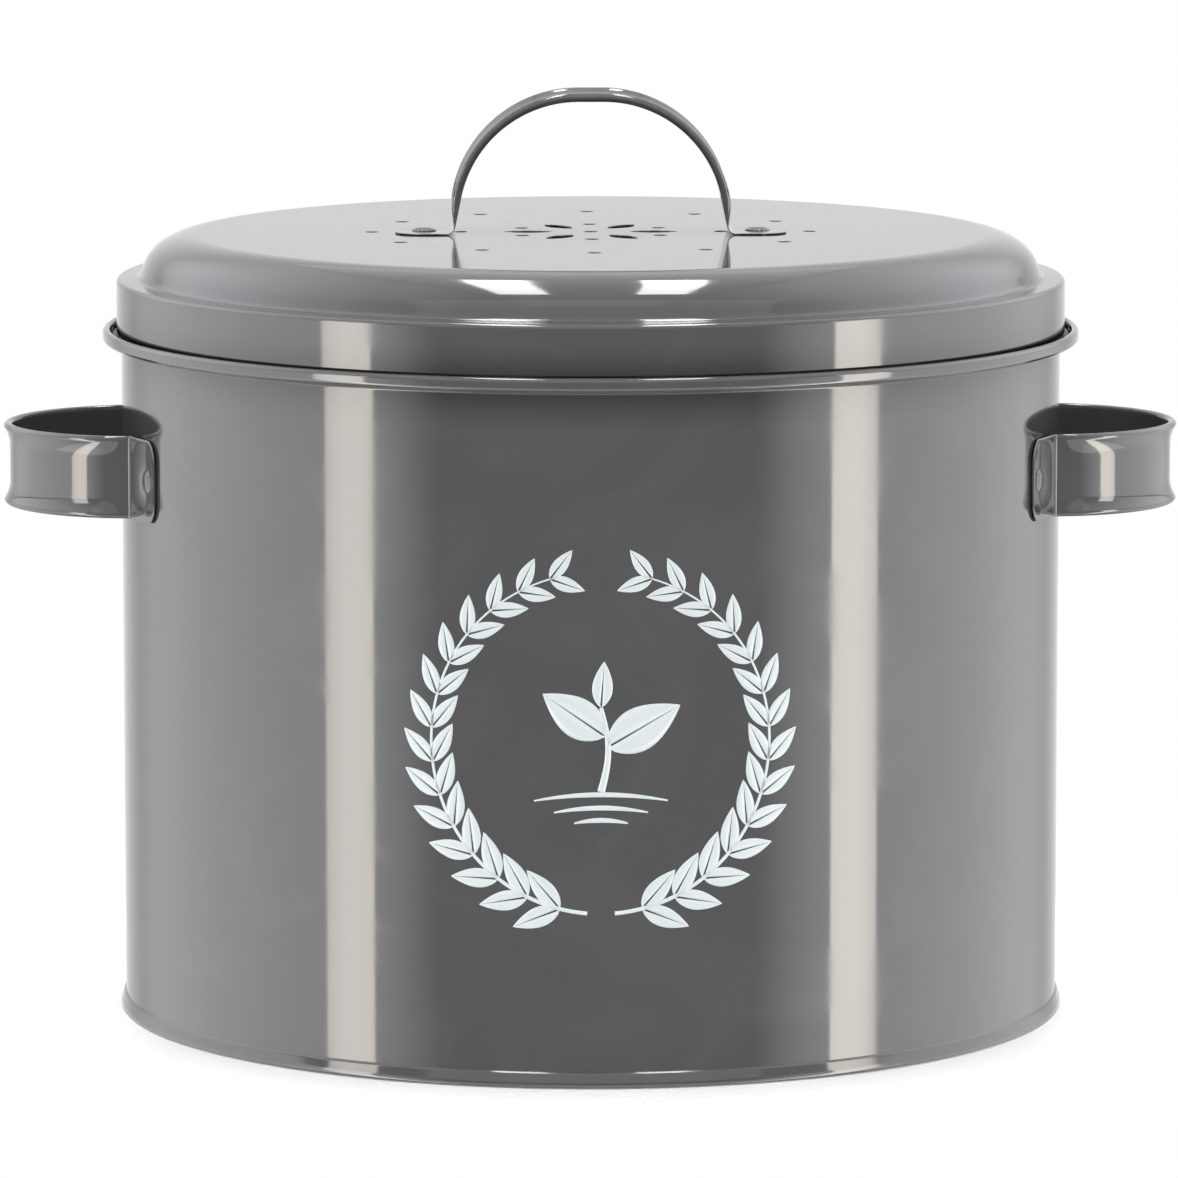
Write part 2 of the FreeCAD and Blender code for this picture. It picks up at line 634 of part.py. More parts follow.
def lid_shell():
    """Pressed lid: flat vented top, two-bend shoulder, sloping ledge and hemmed skirt."""
    points = [
        (0, LID_TOP),
        (CROWN_RADIUS, LID_TOP),
        (SHOULDER_RADIUS, SHOULDER_HEIGHT),
        (STEP_RADIUS, STEP_HEIGHT),
        (LID_RADIUS, SKIRT_TOP),
        (LID_RADIUS, LID_SEAT),
        (LID_RADIUS - HEM_DEPTH, LID_SEAT),
        (LID_RADIUS - HEM_DEPTH, LID_SEAT + HEM_HEIGHT),
    ]
    hem_bend = HEM_DEPTH / 2
    bends = [SHOULDER_HIGH_BEND, SHOULDER_LOW_BEND, STEP_BEND, LEDGE_BEND, hem_bend, hem_bend]
    shell = turned(sheet_face(points, bends, 0, -SHEET, in_section))
    low = LID_UNDER - OVERRUN
    length = SHEET + 2 * OVERRUN
    vents = [Part.makeCylinder(VENT_DIAMETER / 2, length, V(x, y, low)) for x, y in vent_places()]
    vents += [spun(leaf_vent(), FULL_TURN * index / LEAF_COUNT) for index in range(LEAF_COUNT)]
    return shell.cut(Part.makeCompound(vents + [lid_rivet_holes()]))


def lid_handle():
    """Arched strap with two flat feet on the lid's top."""
    foot_end = LID_LEG + LID_FOOT_REACH
    foot_line = FOOT_UNDER + STRAP_HALF
    start_x = LID_LEG - FOOT_REACH * sine(LID_LEG_LEAN)
    start_z = foot_line + FOOT_REACH * cosine(LID_LEG_LEAN)
    top = foot_line + LEG_RUN * cosine(LID_LEG_LEAN)
    corners = [(-ARCH_CORNER, top), (ARCH_CORNER, top)]
    left_foot = [(-foot_end, foot_line), (-LID_LEG, foot_line)]
    right_foot = [(LID_LEG, foot_line), (foot_end, foot_line)]
    arch_bends = [LID_HANDLE_BEND, LID_HANDLE_BEND]
    bends = [LID_FOOT_BEND, *arch_bends, LID_FOOT_BEND]
    web = strip(left_foot + corners + right_foot, bends, in_section, BACK)
    loop = [(-start_x, start_z), *corners, (start_x, start_z)]
    web = rounded_ends(web, STRAP_SHEET, LID_FOOT_ROUND, lambda middle: abs(middle.x) > LID_RIVET_X)
    handle = joined(web, *rolls(loop, arch_bends, in_section, BACK))
    return handle.cut(lid_rivet_holes())


def lid_rivets():
    """The lid's two rivets, which clamp the handle's feet, the lid and the filter holder."""
    grip = FOOT_TOP - LUG_UNDER + SEAT_GAP
    seats = [V(x, 0, FOOT_TOP) for x in (-LID_RIVET_X, LID_RIVET_X)]
    return Part.makeCompound([placed(rivet(grip), seat, UP) for seat in seats])


def hinge_rod(radius, first, last):
    """Rod on the tray's hinge line between two places along X."""
    return round_rod(radius, V(first, HINGE_Y, HINGE_Z), V(last, HINGE_Y, HINGE_Z))


def hinge_bore():
    reach = TRAY_KNUCKLE_LENGTH + HOLDER_KNUCKLE_LENGTH
    return hinge_rod(HINGE_PIN / 2 + PIN_GAP, -reach, reach)


def filter_holder():
    """Ring under the lid with two lugs for the rivets and two knuckles for the tray's hinge."""
    body = ring(HOLDER_INSIDE, HOLDER_OUTSIDE, HOLDER_BOTTOM, HOLDER_TOP)
    lug_end = LID_RIVET_X - LUG_BEYOND
    ring_line = HOLDER_INSIDE + HOLDER_WALL / 2
    lug = block((lug_end, ring_line), (-LUG_WIDTH / 2, LUG_WIDTH / 2), (LUG_UNDER, HOLDER_TOP))
    vent_cut = Part.makeCylinder(
        LUG_VENT / 2, LUG_THICKNESS + 2 * OVERRUN, V(VENT_OUTER_RADIUS, 0, LUG_UNDER - OVERRUN)
    )
    lug = lug.cut(vent_cut)
    near = TRAY_KNUCKLE_LENGTH / 2 + KNUCKLE_GAP
    far = near + HOLDER_KNUCKLE_LENGTH
    knuckle = hinge_rod(KNUCKLE / 2, near, far)
    arm_start = math.sqrt(HOLDER_OUTSIDE**2 - far**2) - HOLDER_WALL / 2
    arm = block((near, far), (arm_start, HINGE_Y), (HOLDER_BOTTOM, HOLDER_BOTTOM + HINGE_ARM))
    holder = joined(body, lug, mirrored_x(lug), knuckle, mirrored_x(knuckle), arm, mirrored_x(arm))
    return holder.cut(Part.makeCompound([lid_rivet_holes(), hinge_bore()]))


def hinge_pin():
    """Steel pin through the knuckles of the holder and the tray."""
    reach = TRAY_KNUCKLE_LENGTH / 2 + KNUCKLE_GAP + HOLDER_KNUCKLE_LENGTH
    return hinge_rod(HINGE_PIN / 2, -reach, reach)


def grille_gaps():
    """Gaps of the tray's floor: rings between a plain hub and the rim, left open by spokes."""
    pitch = (TRAY_INSIDE - TRAY_HUB) / TRAY_RINGS
    low = TRAY_BOTTOM - OVERRUN
    high = TRAY_TOP + OVERRUN
    spoke = block((0, HOLDER_OUTSIDE), (-TRAY_RIB / 2, TRAY_RIB / 2), (low, high))
    spokes = [spun(spoke, FULL_TURN * index / TRAY_SPOKES) for index in range(TRAY_SPOKES)]
    gaps = []
    for index in range(TRAY_RINGS):
        inside = TRAY_HUB + pitch * index
        outside = inside + pitch - TRAY_RIB
        gaps.append(ring(inside, outside, low, high).cut(Part.makeCompound(spokes)))
    return Part.makeCompound(gaps)


def filter_tray():
    """Hinged tray under the filter: grille floor, low wall, knuckle and thumb latch."""
    floor = Part.makeCylinder(HOLDER_OUTSIDE, TRAY_FLOOR, V(0, 0, TRAY_BOTTOM)).cut(grille_gaps())
    wall = ring(TRAY_INSIDE, TRAY_OUTSIDE, TRAY_TOP - SEAT_GAP, TRAY_TOP + TRAY_HEIGHT)
    half_knuckle = TRAY_KNUCKLE_LENGTH / 2
    knuckle = hinge_rod(KNUCKLE / 2, -half_knuckle, half_knuckle)
    tray_height = (TRAY_BOTTOM, TRAY_TOP)
    arm = block((-half_knuckle, half_knuckle), (TRAY_OUTSIDE, HINGE_Y), tray_height)
    latch_inside = HOLDER_OUTSIDE + LOOSE_GAP
    latch_outside = latch_inside + LATCH_THICKNESS
    latch_width = (-LATCH_WIDTH / 2, LATCH_WIDTH / 2)
    latch = block(latch_width, (-latch_outside, -latch_inside), (TRAY_BOTTOM, TRAY_BOTTOM + LATCH_HEIGHT))
    lip = block(latch_width, (-latch_outside - THUMB_LIP, -TRAY_OUTSIDE), tray_height)
    return joined(floor, wall, knuckle, arm, latch, lip).cut(hinge_bore())


def charcoal_filter():
    """Felt disc with softened rims."""
    disc = Part.makeCylinder(FILTER_RADIUS, FILTER_THICKNESS, V(0, 0, FILTER_BOTTOM))
    rims = [edge for edge in disc.Edges if isinstance(edge.Curve, Part.Circle)]
    return disc.makeFillet(FILTER_ROUND, rims)


def build():
    """All pieces of the bin by the name of their node."""
    right_handle = side_handle()
    right_rivets = side_rivets()
    return {
        "pail_wall": pail_wall(),
        "base_pan": base_pan(),
        "right_handle": right_handle,
        "left_handle": mirrored_x(right_handle),
        "right_handle_rivets": right_rivets,
        "left_handle_rivets": mirrored_x(right_rivets),
        "liner_bucket": liner_bucket(),
        "bail_wire": bail_wire(),
        "bail_grip": bail_grip(),
        "lid_shell": lid_shell(),
        "lid_handle": lid_handle(),
        "lid_handle_rivets": lid_rivets(),
        "filter_holder": filter_holder(),
        "hinge_pin": hinge_pin(),
        "filter_tray": filter_tray(),
        "charcoal_filter": charcoal_filter(),
    }


os.makedirs("parts", exist_ok=True)
for node, shape in build().items():
    shape.exportStep(os.path.join("parts", node + ".step"))
    print(node, len(shape.Solids), "solids", round(shape.Volume), "mm3", shape.isValid())
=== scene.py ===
"""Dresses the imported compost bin: enamelled sheet, plastic liner, filter and studio."""
import logging
import math
from dataclasses import dataclass, field
from enum import Enum
from typing import Iterable, Sequence

import bmesh
import bpy
import numpy as np
from mathutils import Matrix, Vector
from mathutils.geometry import delaunay_2d_cdt


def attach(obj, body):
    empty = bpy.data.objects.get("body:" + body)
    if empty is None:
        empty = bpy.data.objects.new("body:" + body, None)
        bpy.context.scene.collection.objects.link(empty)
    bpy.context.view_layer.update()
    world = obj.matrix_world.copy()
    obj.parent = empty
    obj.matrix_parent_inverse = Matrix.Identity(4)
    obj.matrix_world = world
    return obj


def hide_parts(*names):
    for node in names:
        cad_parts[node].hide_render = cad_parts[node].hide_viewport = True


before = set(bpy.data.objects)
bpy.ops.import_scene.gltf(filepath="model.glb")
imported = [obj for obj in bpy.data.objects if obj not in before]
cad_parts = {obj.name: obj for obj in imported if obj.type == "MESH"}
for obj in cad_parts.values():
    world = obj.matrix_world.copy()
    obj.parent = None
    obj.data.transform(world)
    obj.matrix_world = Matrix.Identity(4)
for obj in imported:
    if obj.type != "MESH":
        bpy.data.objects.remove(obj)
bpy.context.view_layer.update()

LOG = logging.getLogger("compost_bin")
MM = 0.001
WELD = 0.0005 * MM
FULL = 2 * math.pi
QUARTER = math.pi / 2
WHITE = (1.0, 1.0, 1.0)
Corner = tuple[float, float]
Triple = tuple[float, float, float]
Shares = np.ndarray | float
ColourInput = bpy.types.NodeSocket | tuple[float, float, float, float]


class Body(Enum):
    """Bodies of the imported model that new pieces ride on."""

    PAIL = "pail"
    LINER = "liner"
    LID = "lid"
    TRAY = "tray"


class Slot(Enum):
    """Material slots of the record, passed along with new pieces."""

    ENAMEL = "enamel"
    PLASTIC = "black_plastic"
    FELT = "charcoal_felt"


class Side(Enum):
    """The two sides of the pail that carry a handle."""

    RIGHT = 1
    LEFT = -1


# ---------------------------------------------------------------- surfaces


@dataclass(frozen=True)
class BentLine:
    """A flat path of straight runs and round bends, sampled as arrays of points and left normals."""

    points: np.ndarray
    normals: np.ndarray

    @classmethod
    def through(
        cls,
        corners: Sequence[Corner],
        bends: Sequence[float],
        steps: int = 10,
        pitch: float = 6 * MM,
        ends: Sequence[float] = (),
    ) -> "BentLine":
        """Samples the path through corners, each inner corner rounded by its bend radius.

        On a bend the left normal turns evenly from one run's to the next, and a point is the bend's
        centre minus its signed radius times that normal.

        Args:
            corners: Corners of the path before rounding.
            bends: Radius at each inner corner.
            steps: Steps along each bend.
            pitch: Longest step along a straight run.
            ends: Extra distances from both ends of the path to sample at.

        Returns:
            The sampled path.
        """
        path = np.asarray(corners, float)
        runs = np.diff(path, axis=0)
        headings = runs / np.linalg.norm(runs, axis=1)[:, None]
        lefts = np.stack([-headings[:, 1], headings[:, 0]], axis=1)
        before, after = headings[:-1], headings[1:]
        cross = before[:, 0] * after[:, 1] - before[:, 1] * after[:, 0]
        turns = np.arctan2(cross, (before * after).sum(axis=1))
        radii = np.asarray(bends, float)
        reaches = radii * np.tan(np.abs(turns) / 2)
        points, normals = [], []
        start = path[0]
        last = len(runs) - 1
        for index in range(len(runs)):
            end = path[-1] if index == last else path[index + 1] - headings[index] * reaches[index]
            length = float(np.linalg.norm(end - start))
            extra = [near for near in ends if index == 0]
            extra += [length - near for near in ends if index == last]
            along = run_places(length, pitch, extra)
            points.append(start + along[:, None] * headings[index])
            normals.append(np.tile(lefts[index], (len(along), 1)))
            if index < last:
                side = math.copysign(1.0, turns[index])
                centre = end + lefts[index] * side * radii[index]
                angle = np.linspace(0, turns[index], steps + 1)[1:-1, None]
                normal = np.cos(angle) * lefts[index] - np.sin(angle) * headings[index]
                points.append(centre - side * radii[index] * normal)
                normals.append(normal)
                start = path[index + 1] + headings[index + 1] * reaches[index]
        return cls(np.concatenate(points), np.concatenate(normals))

    def beside(self, offset: float | np.ndarray) -> np.ndarray:
        """Points that keep an offset to the left of the path."""
        return self.points + self.normals * np.asarray(offset).reshape(-1, 1)

    def lengths(self) -> np.ndarray:
        """Distance of each sample from the start, along the path."""
        steps = np.linalg.norm(np.diff(self.points, axis=0), axis=1)
        return np.concatenate([[0.0], np.cumsum(steps)])


def run_places(
    length: float,
    pitch: float,
    extra: Iterable[float],
    support: float = 0.2 * MM,
    shortest: float = 0.002 * MM,
) -> np.ndarray:
    """Distances to sample along a straight run, with a close pair at both ends to hold its shading.

    Args:
        length: Length of the run.
        pitch: Longest step.
        extra: More distances to include.
        support: Distance of the close samples from the ends.
        shortest: Length under which the run is a single point.

    Returns:
        Sorted distances from 0 to the length.
    """
    if length < shortest:
        return np.zeros(1)
    even = np.linspace(0, length, max(2, math.ceil(length / pitch) + 1))
    close = [support, length - support] if length > 4 * support else []
    places = np.concatenate([even, close, list(extra)])
    return np.unique(np.round(np.clip(places, 0, length), 9))


def turned(profile: np.ndarray, angles: np.ndarray) -> np.ndarray:
    """Surface of revolution about Z: a profile of radius and height, carried round the angles.

    Args:
        profile: Radius and height of each profile point.
        angles: Angles from +X.

    Returns:
        Grid of points, profile by angle.
    """
    radius = profile[:, :1]
    height = np.broadcast_to(profile[:, 1:], (len(profile), len(angles)))
    return np.stack([radius * np.cos(angles), radius * np.sin(angles), height], axis=-1)


def full_turn(count: int) -> np.ndarray:
    """Even angles of a whole turn."""
    return np.arange(count) * (FULL / count)


def smooth_step(value: np.ndarray, low: float, high: float) -> np.ndarray:
    """Ramp from 0 at low to 1 at high with level ends: 3t squared less 2t cubed.

    Args:
        value: Values to ramp.
        low: Value where the ramp starts.
        high: Value where it ends.

    Returns:
        Shares from 0 to 1.
    """
    share = np.clip((value - low) / (high - low), 0, 1)
    return share * share * (3 - 2 * share)


class MeshDraft:
    """Gathers patches of points and faces, then makes them one closed mesh object."""

    def __init__(self) -> None:
        """Starts with no points and no faces."""
        self.points: list[np.ndarray] = []
        self.faces: list[list[int]] = []
        self.edges: list[np.ndarray] = []
        self.painted_shades: list[np.ndarray] = []
        self.count = 0

    def _take(self, points: np.ndarray, faces: np.ndarray, edge: Shares, painted_shade: Shares) -> None:
        """Adds points and faces.

        Args:
            points: Points in any arrangement.
            faces: Corners of each face, counted from the first of these points.
            edge: Nearness to a painted edge, 0 to 1, for each point.
            painted_shade: Share of painted shade at each point, 0 to 1, that darkens it as if in
                shadow.
        """
        flat = points.reshape(-1, 3)
        self.points.append(flat)
        for kept, shares in ((self.edges, edge), (self.painted_shades, painted_shade)):
            kept.append(np.broadcast_to(shares, points.shape[:-1]).reshape(-1).astype(float))
        self.faces += (faces + self.count).tolist()
        self.count += len(flat)

    def patch(
        self,
        grid: np.ndarray,
        wrap_u: bool = False,
        wrap_v: bool = False,
        edge: Shares = 0.0,
        painted_shade: Shares = 0.0,
    ) -> "MeshDraft":
        """Adds a grid of points as quads, joined end to end in the directions that wrap.

        Args:
            grid: Points by u and v.
            wrap_u: Joins the last row to the first.
            wrap_v: Joins the last column to the first.
            edge: Nearness to a painted edge for each point.
            painted_shade: Share of painted shade for each point.

        Returns:
            This draft.
        """
        rows, columns = grid.shape[:2]
        u = np.arange(rows if wrap_u else rows - 1)
        v = np.arange(columns if wrap_v else columns - 1)
        here, right = u[:, None] * columns, ((u + 1) % rows)[:, None] * columns
        beside = (v + 1) % columns
        faces = np.stack([here + v, here + beside, right + beside, right + v], axis=-1)
        self._take(grid, faces.reshape(-1, 4), edge, painted_shade)
        return self

    def triangles(self, points: np.ndarray, faces: np.ndarray) -> "MeshDraft":
        """Adds loose triangles."""
        self._take(points, faces, 0.0, 0.0)
        return self

    def piece(self, name: str, crease: float = 35.0) -> bpy.types.Object:
        """Merges the patches and makes the object, at the origin and with faces outwards.

        Args:
            name: Name of the object.
            crease: Angle in degrees past which an edge is drawn sharp.

        Returns:
            The linked object.
        """
        mesh = bpy.data.meshes.new(name)
        mesh.from_pydata(np.concatenate(self.points).tolist(), [], self.faces)
        # Besides the painted edge, each point carries its share of painted shade.
        for label, shares in (("painted_edge", self.edges), ("painted_rim_shade", self.painted_shades)):
            stored = mesh.attributes.new(label, "FLOAT", "POINT")
            stored.data.foreach_set("value", np.concatenate(shares))
        work = bmesh.new()
        work.from_mesh(mesh)
        bmesh.ops.remove_doubles(work, verts=work.verts, dist=WELD)
        bmesh.ops.recalc_face_normals(work, faces=work.faces)
        work.to_mesh(mesh)
        work.free()
        mesh.shade_smooth()
        mesh.set_sharp_from_angle(angle=math.radians(crease))
        made = bpy.data.objects.new(name, mesh)
        bpy.context.scene.collection.objects.link(made)
        return made


# ---------------------------------------------------------------- finishes


class Shading:
    """Adds nodes and links to one shader node tree."""

    def __init__(self, tree: bpy.types.NodeTree) -> None:
        """Keeps the tree that nodes go into."""
        self.tree = tree

    @classmethod
    def fresh(cls, owner: bpy.types.ID) -> "Shading":
        """Starts the empty node tree of a material, lamp or world.

        Args:
            owner: What the tree belongs to.

        Returns:
            The tree, ready for nodes.
        """
        owner.use_nodes = True
        owner.node_tree.nodes.clear()
        return cls(owner.node_tree)

    def add(self, kind: str, inputs: dict | None = None, **settings: object) -> bpy.types.Node:
        """Adds a node, sets its properties, and sets or links its inputs.

        Args:
            kind: Node type without its ShaderNode prefix.
            inputs: Values or output sockets by input name or index.
            settings: Properties of the node.

        Returns:
            The node.
        """
        node = self.tree.nodes.new("ShaderNode" + kind)
        for key, value in settings.items():
            setattr(node, key, value)
        for key, value in (inputs or {}).items():
            if isinstance(value, bpy.types.NodeSocket):
                self.tree.links.new(value, node.inputs[key])
            else:
                node.inputs[key].default_value = value
        return node

    def math(self, operation: str, *values: bpy.types.NodeSocket | float) -> bpy.types.NodeSocket:
        """Result of a Math node on numbers or sockets."""
        return self.add("Math", dict(enumerate(values)), operation=operation).outputs[0]

    def ramp(
        self, value: bpy.types.NodeSocket, low: float, high: float, start: float = 0.0, end: float = 1.0
    ) -> bpy.types.NodeSocket:
        """Smooth ramp of a value from start at low to end at high."""
        inputs = {"Value": value, 1: low, 2: high, 3: start, 4: end}
        return self.add("MapRange", inputs, interpolation_type="SMOOTHSTEP").outputs[0]

    def blend(
        self, share: bpy.types.NodeSocket, first: ColourInput, second: ColourInput
    ) -> bpy.types.NodeSocket:
        """Colour between two colours."""
        return self.add("Mix", {0: share, 6: first, 7: second}, data_type="RGBA").outputs[2]

    def group(self, tree: bpy.types.NodeTree, inputs: dict) -> bpy.types.NodeSocket:
        """Output of a shared node group with its own values."""
        return self.add("Group", inputs, node_tree=tree).outputs[0]


@dataclass
class SharedEffect:
    """A shader node group on a place vector, with number inputs and one number output."""

    name: str
    output: str
    inputs: dict[str, float]

    def __post_init__(self) -> None:
        """Starts the group's tree with its sockets."""
        self.tree = bpy.data.node_groups.new(self.name, "ShaderNodeTree")
        sockets = self.tree.interface
        sockets.new_socket(name="Vector", in_out="INPUT", socket_type="NodeSocketVector")
        for key, default in self.inputs.items():
            socket = sockets.new_socket(name=key, in_out="INPUT", socket_type="NodeSocketFloat")
            socket.default_value = default
        sockets.new_socket(name=self.output, in_out="OUTPUT", socket_type="NodeSocketFloat")
        self.sheet = Shading(self.tree)
        self.given = self.tree.nodes.new("NodeGroupInput").outputs

    def noise(self, scale: str, detail: float, distortion: float = 0.0) -> bpy.types.NodeSocket:
        """Noise at the place.

        Args:
            scale: Name of the input that sets the noise's scale.
            detail: Layers of finer noise.
            distortion: Strength of the warp.

        Returns:
            The noise, from 0 to 1.
        """
        inputs = {"Vector": self.given["Vector"], "Scale": self.given[scale]}
        inputs |= {"Detail": detail, "Distortion": distortion}
        return self.sheet.add("TexNoise", inputs).outputs[0]

    def give(self, value: bpy.types.NodeSocket) -> bpy.types.NodeTree:
        """Links the group's output and returns its tree."""
        self.tree.links.new(value, self.tree.nodes.new("NodeGroupOutput").inputs[0])
        return self.tree


class SharedEffects:
    """Shader node groups that several finishes use."""

    mark_range = (0.42, 0.68)
    speck_spread = 0.4
    speck_edge = 0.015
    thin_range = (0.35, 0.7)

    def __init__(self) -> None:
        """Builds each group once."""
        self.relief = self._relief()
        self.marks = self._marks()
        self.specks = self._specks()
        self.thin_edge = self._thin_edge()

    @staticmethod
    def _relief() -> bpy.types.NodeTree:
        """Height in metres: fine and broad noise, each centred on zero and times its depth.

        Returns:
            The group.
        """
        inputs = {"Fine Scale": 900.0, "Fine Depth": 0.0, "Broad Scale": 200.0, "Broad Depth": 0.0}
        effect = SharedEffect("surface_relief", "Height", inputs)
        heights = []
        for kind in ("Fine", "Broad"):
            centred = effect.sheet.math("SUBTRACT", effect.noise(f"{kind} Scale", 2.0), 0.5)
            heights.append(effect.sheet.math("MULTIPLY", centred, effect.given[f"{kind} Depth"]))
        return effect.give(effect.sheet.math("ADD", *heights))

    def _marks(self) -> bpy.types.NodeTree:
        """Mask of wiped and handled places: warped noise, smooth-stepped."""
        effect = SharedEffect("handling_marks", "Mask", {"Scale": 30.0})
        return effect.give(effect.sheet.ramp(effect.noise("Scale", 5.0, 1.4), *self.mark_range))

    def _specks(self) -> bpy.types.NodeTree:
        """Mask of sparse specks: cells of a Voronoi pattern, of which a few hold a small round dot.

        Returns:
            The group.
        """
        effect = SharedEffect("dust_specks", "Mask", {"Scale": 120.0, "Size": 0.05, "Share": 0.1})
        sheet, given = effect.sheet, effect.given
        cells = sheet.add("TexVoronoi", {"Vector": given["Vector"], "Scale": given["Scale"]})
        pick = sheet.add("SeparateColor", {0: cells.outputs["Color"]})
        chosen = sheet.math("LESS_THAN", pick.outputs[0], given["Share"])
        spread = sheet.math("ADD", pick.outputs[1], self.speck_spread)
        size = sheet.math("MULTIPLY", given["Size"], spread)
        inside = sheet.math("SUBTRACT", size, cells.outputs["Distance"])
        return effect.give(sheet.math("MULTIPLY", sheet.ramp(inside, 0.0, self.speck_edge), chosen))

    def _thin_edge(self) -> bpy.types.NodeTree:
        """Mask of paint drawn thin on an edge: the piece's own edge value broken up by noise.

        Returns:
            The group.
        """
        effect = SharedEffect("thin_edge", "Mask", {"Edge": 0.0, "Scale": 400.0})
        broken = effect.sheet.ramp(effect.noise("Scale", 3.0), *self.thin_range)
        return effect.give(effect.sheet.math("MULTIPLY", effect.given["Edge"], broken))


@dataclass(frozen=True)
class Finish:
    """A surface finish, as the values of its shader."""

    name: str
    colour: Triple
    worn: Triple
    roughness: float
    roughness_range: float
    fine: tuple[float, float]
    broad: tuple[float, float]
    marks_scale: float
    marks_tint: float = 0.25
    specks: float = 0.0
    specks_scale: float = 160.0
    metallic: float = 0.0
    ior: float = 1.5
    sheen: float = 0.0
    edge: float = 0.0
    # Colour at full painted shade, as a share of the colour: shade painted under the rim.
    painted_shade_level: float = 0.12

    def material(self, shared: SharedEffects) -> bpy.types.Material:
        """Builds the material on Object coordinates.

        Colour runs between the finish's two colours by handling marks, specks and thin edges, and
        darkens by painted shade where the mesh's shade attribute is set, under the rim bead and at the
        foot of the lid's skirt. Roughness follows the marks, and the bump is the shared relief at this
        finish's depths.

        Args:
            shared: The shared node groups.

        Returns:
            The material.
        """
        made = bpy.data.materials.new(self.name)
        sheet = Shading.fresh(made)
        place = sheet.add("TexCoord").outputs["Object"]
        marks = sheet.group(shared.marks, {"Vector": place, "Scale": self.marks_scale})
        specks = {"Vector": place, "Scale": self.specks_scale, "Share": self.specks}
        specks = sheet.group(shared.specks, specks)
        near = sheet.add("Attribute", attribute_name="painted_edge").outputs["Fac"]
        thin = sheet.group(shared.thin_edge, {"Vector": place, "Edge": near})
        tint = sheet.math("MULTIPLY", marks, self.marks_tint)
        tint = sheet.math("MAXIMUM", tint, sheet.math("MULTIPLY", thin, self.edge))
        tint = sheet.math("MAXIMUM", tint, specks)
        colour = sheet.blend(tint, (*self.colour, 1.0), (*self.worn, 1.0))
        # Painted shade: towards the shade attribute the colour darkens to a small share of itself,
        # standing in for shadow.
        shade_mask = sheet.add("Attribute", attribute_name="painted_rim_shade").outputs["Fac"]
        shaded_colour = tuple(self.painted_shade_level * part for part in self.colour)
        colour = sheet.blend(shade_mask, colour, (*shaded_colour, 1.0))
        low, high = self.roughness - self.roughness_range, self.roughness + self.roughness_range
        rough = sheet.ramp(sheet.math("MAXIMUM", marks, specks), 0.0, 1.0, low, high)
        depths = {"Fine Scale": self.fine[0], "Fine Depth": self.fine[1]}
        depths |= {"Broad Scale": self.broad[0], "Broad Depth": self.broad[1]}
        height = sheet.group(shared.relief, {"Vector": place, **depths})
        bump = sheet.add("Bump", {"Height": height, "Strength": 1.0, "Distance": 1.0})
        sockets = {"Base Color": colour, "Roughness": rough, "Metallic": self.metallic}
        sockets |= {"IOR": self.ior, "Sheen Weight": self.sheen, "Normal": bump.outputs["Normal"]}
        shader = sheet.add("BsdfPrincipled", sockets)
        sheet.add("OutputMaterial", {"Surface": shader.outputs[0]})
        return made


ENAMEL = Finish(
    "gloss_grey_enamel", (0.056, 0.056, 0.058), (0.085, 0.085, 0.086), 0.085, 0.025,
    fine=(800.0, 0.25e-6), broad=(230.0, 3.0e-6), marks_scale=26.0, specks=0.03, ior=1.52, edge=0.5,
)
PRINT_INK = Finish(
    "pale_print_ink", (0.70, 0.76, 0.78), (0.60, 0.66, 0.68), 0.34, 0.06,
    fine=(2600.0, 1.2e-6), broad=(230.0, 3.0e-6), marks_scale=60.0,
)
PLASTIC = Finish(
    "satin_black_plastic", (0.016, 0.016, 0.0175), (0.030, 0.030, 0.031), 0.46, 0.03,
    fine=(3200.0, 9.0e-6), broad=(160.0, 3.0e-6), marks_scale=70.0, specks=0.06, ior=1.4,
)
PLATED = Finish(
    "zinc_plated_steel", (0.60, 0.61, 0.63), (0.47, 0.47, 0.46), 0.27, 0.08,
    fine=(2400.0, 1.5e-6), broad=(420.0, 4.0e-6), marks_scale=90.0, metallic=1.0,
)
FELT = Finish(
    "charcoal_felt", (0.017, 0.017, 0.018), (0.050, 0.050, 0.051), 0.95, 0.04,
    fine=(2100.0, 260e-6), broad=(420.0, 380e-6), marks_scale=150.0, specks=0.25, sheen=0.35,
)


@dataclass
class Dresser:
    """Gives pieces their material and body, and reports them."""

    shared: SharedEffects = field(default_factory=SharedEffects)
    made: dict[str, bpy.types.Material] = field(default_factory=dict)

    def coat(self, thing: bpy.types.Object, finish: Finish) -> None:
        """Puts a finish's material on an object in place of what it has.

        Args:
            thing: The object.
            finish: Its finish, made into a material at its first use.
        """
        if finish.name not in self.made:
            self.made[finish.name] = finish.material(self.shared)
        thing.data.materials.clear()
        thing.data.materials.append(self.made[finish.name])

    def piece(
        self, thing: bpy.types.Object, finish: Finish, slot: Slot, body: Body, *nodes: str
    ) -> None:
        """Finishes a new piece.

        Args:
            thing: The piece.
            finish: Its finish.
            slot: The record's slot for the piece, not used.
            body: The body that it rides on.
            nodes: CAD nodes that it stands for.
        """
        self.coat(thing, finish)
        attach(thing, body.value)
        if nodes:
            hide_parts(*nodes)
        faces = len(thing.data.polygons)
        LOG.info("%s: %d faces, %s on %s", thing.name, faces, finish.name, body.value)

    def node(self, name: str, finish: Finish) -> None:
        """Keeps a CAD node and gives it a finish."""
        self.coat(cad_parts[name], finish)
        LOG.info("%s: CAD node, %s", name, finish.name)


# ---------------------------------------------------------------- straps and rivets


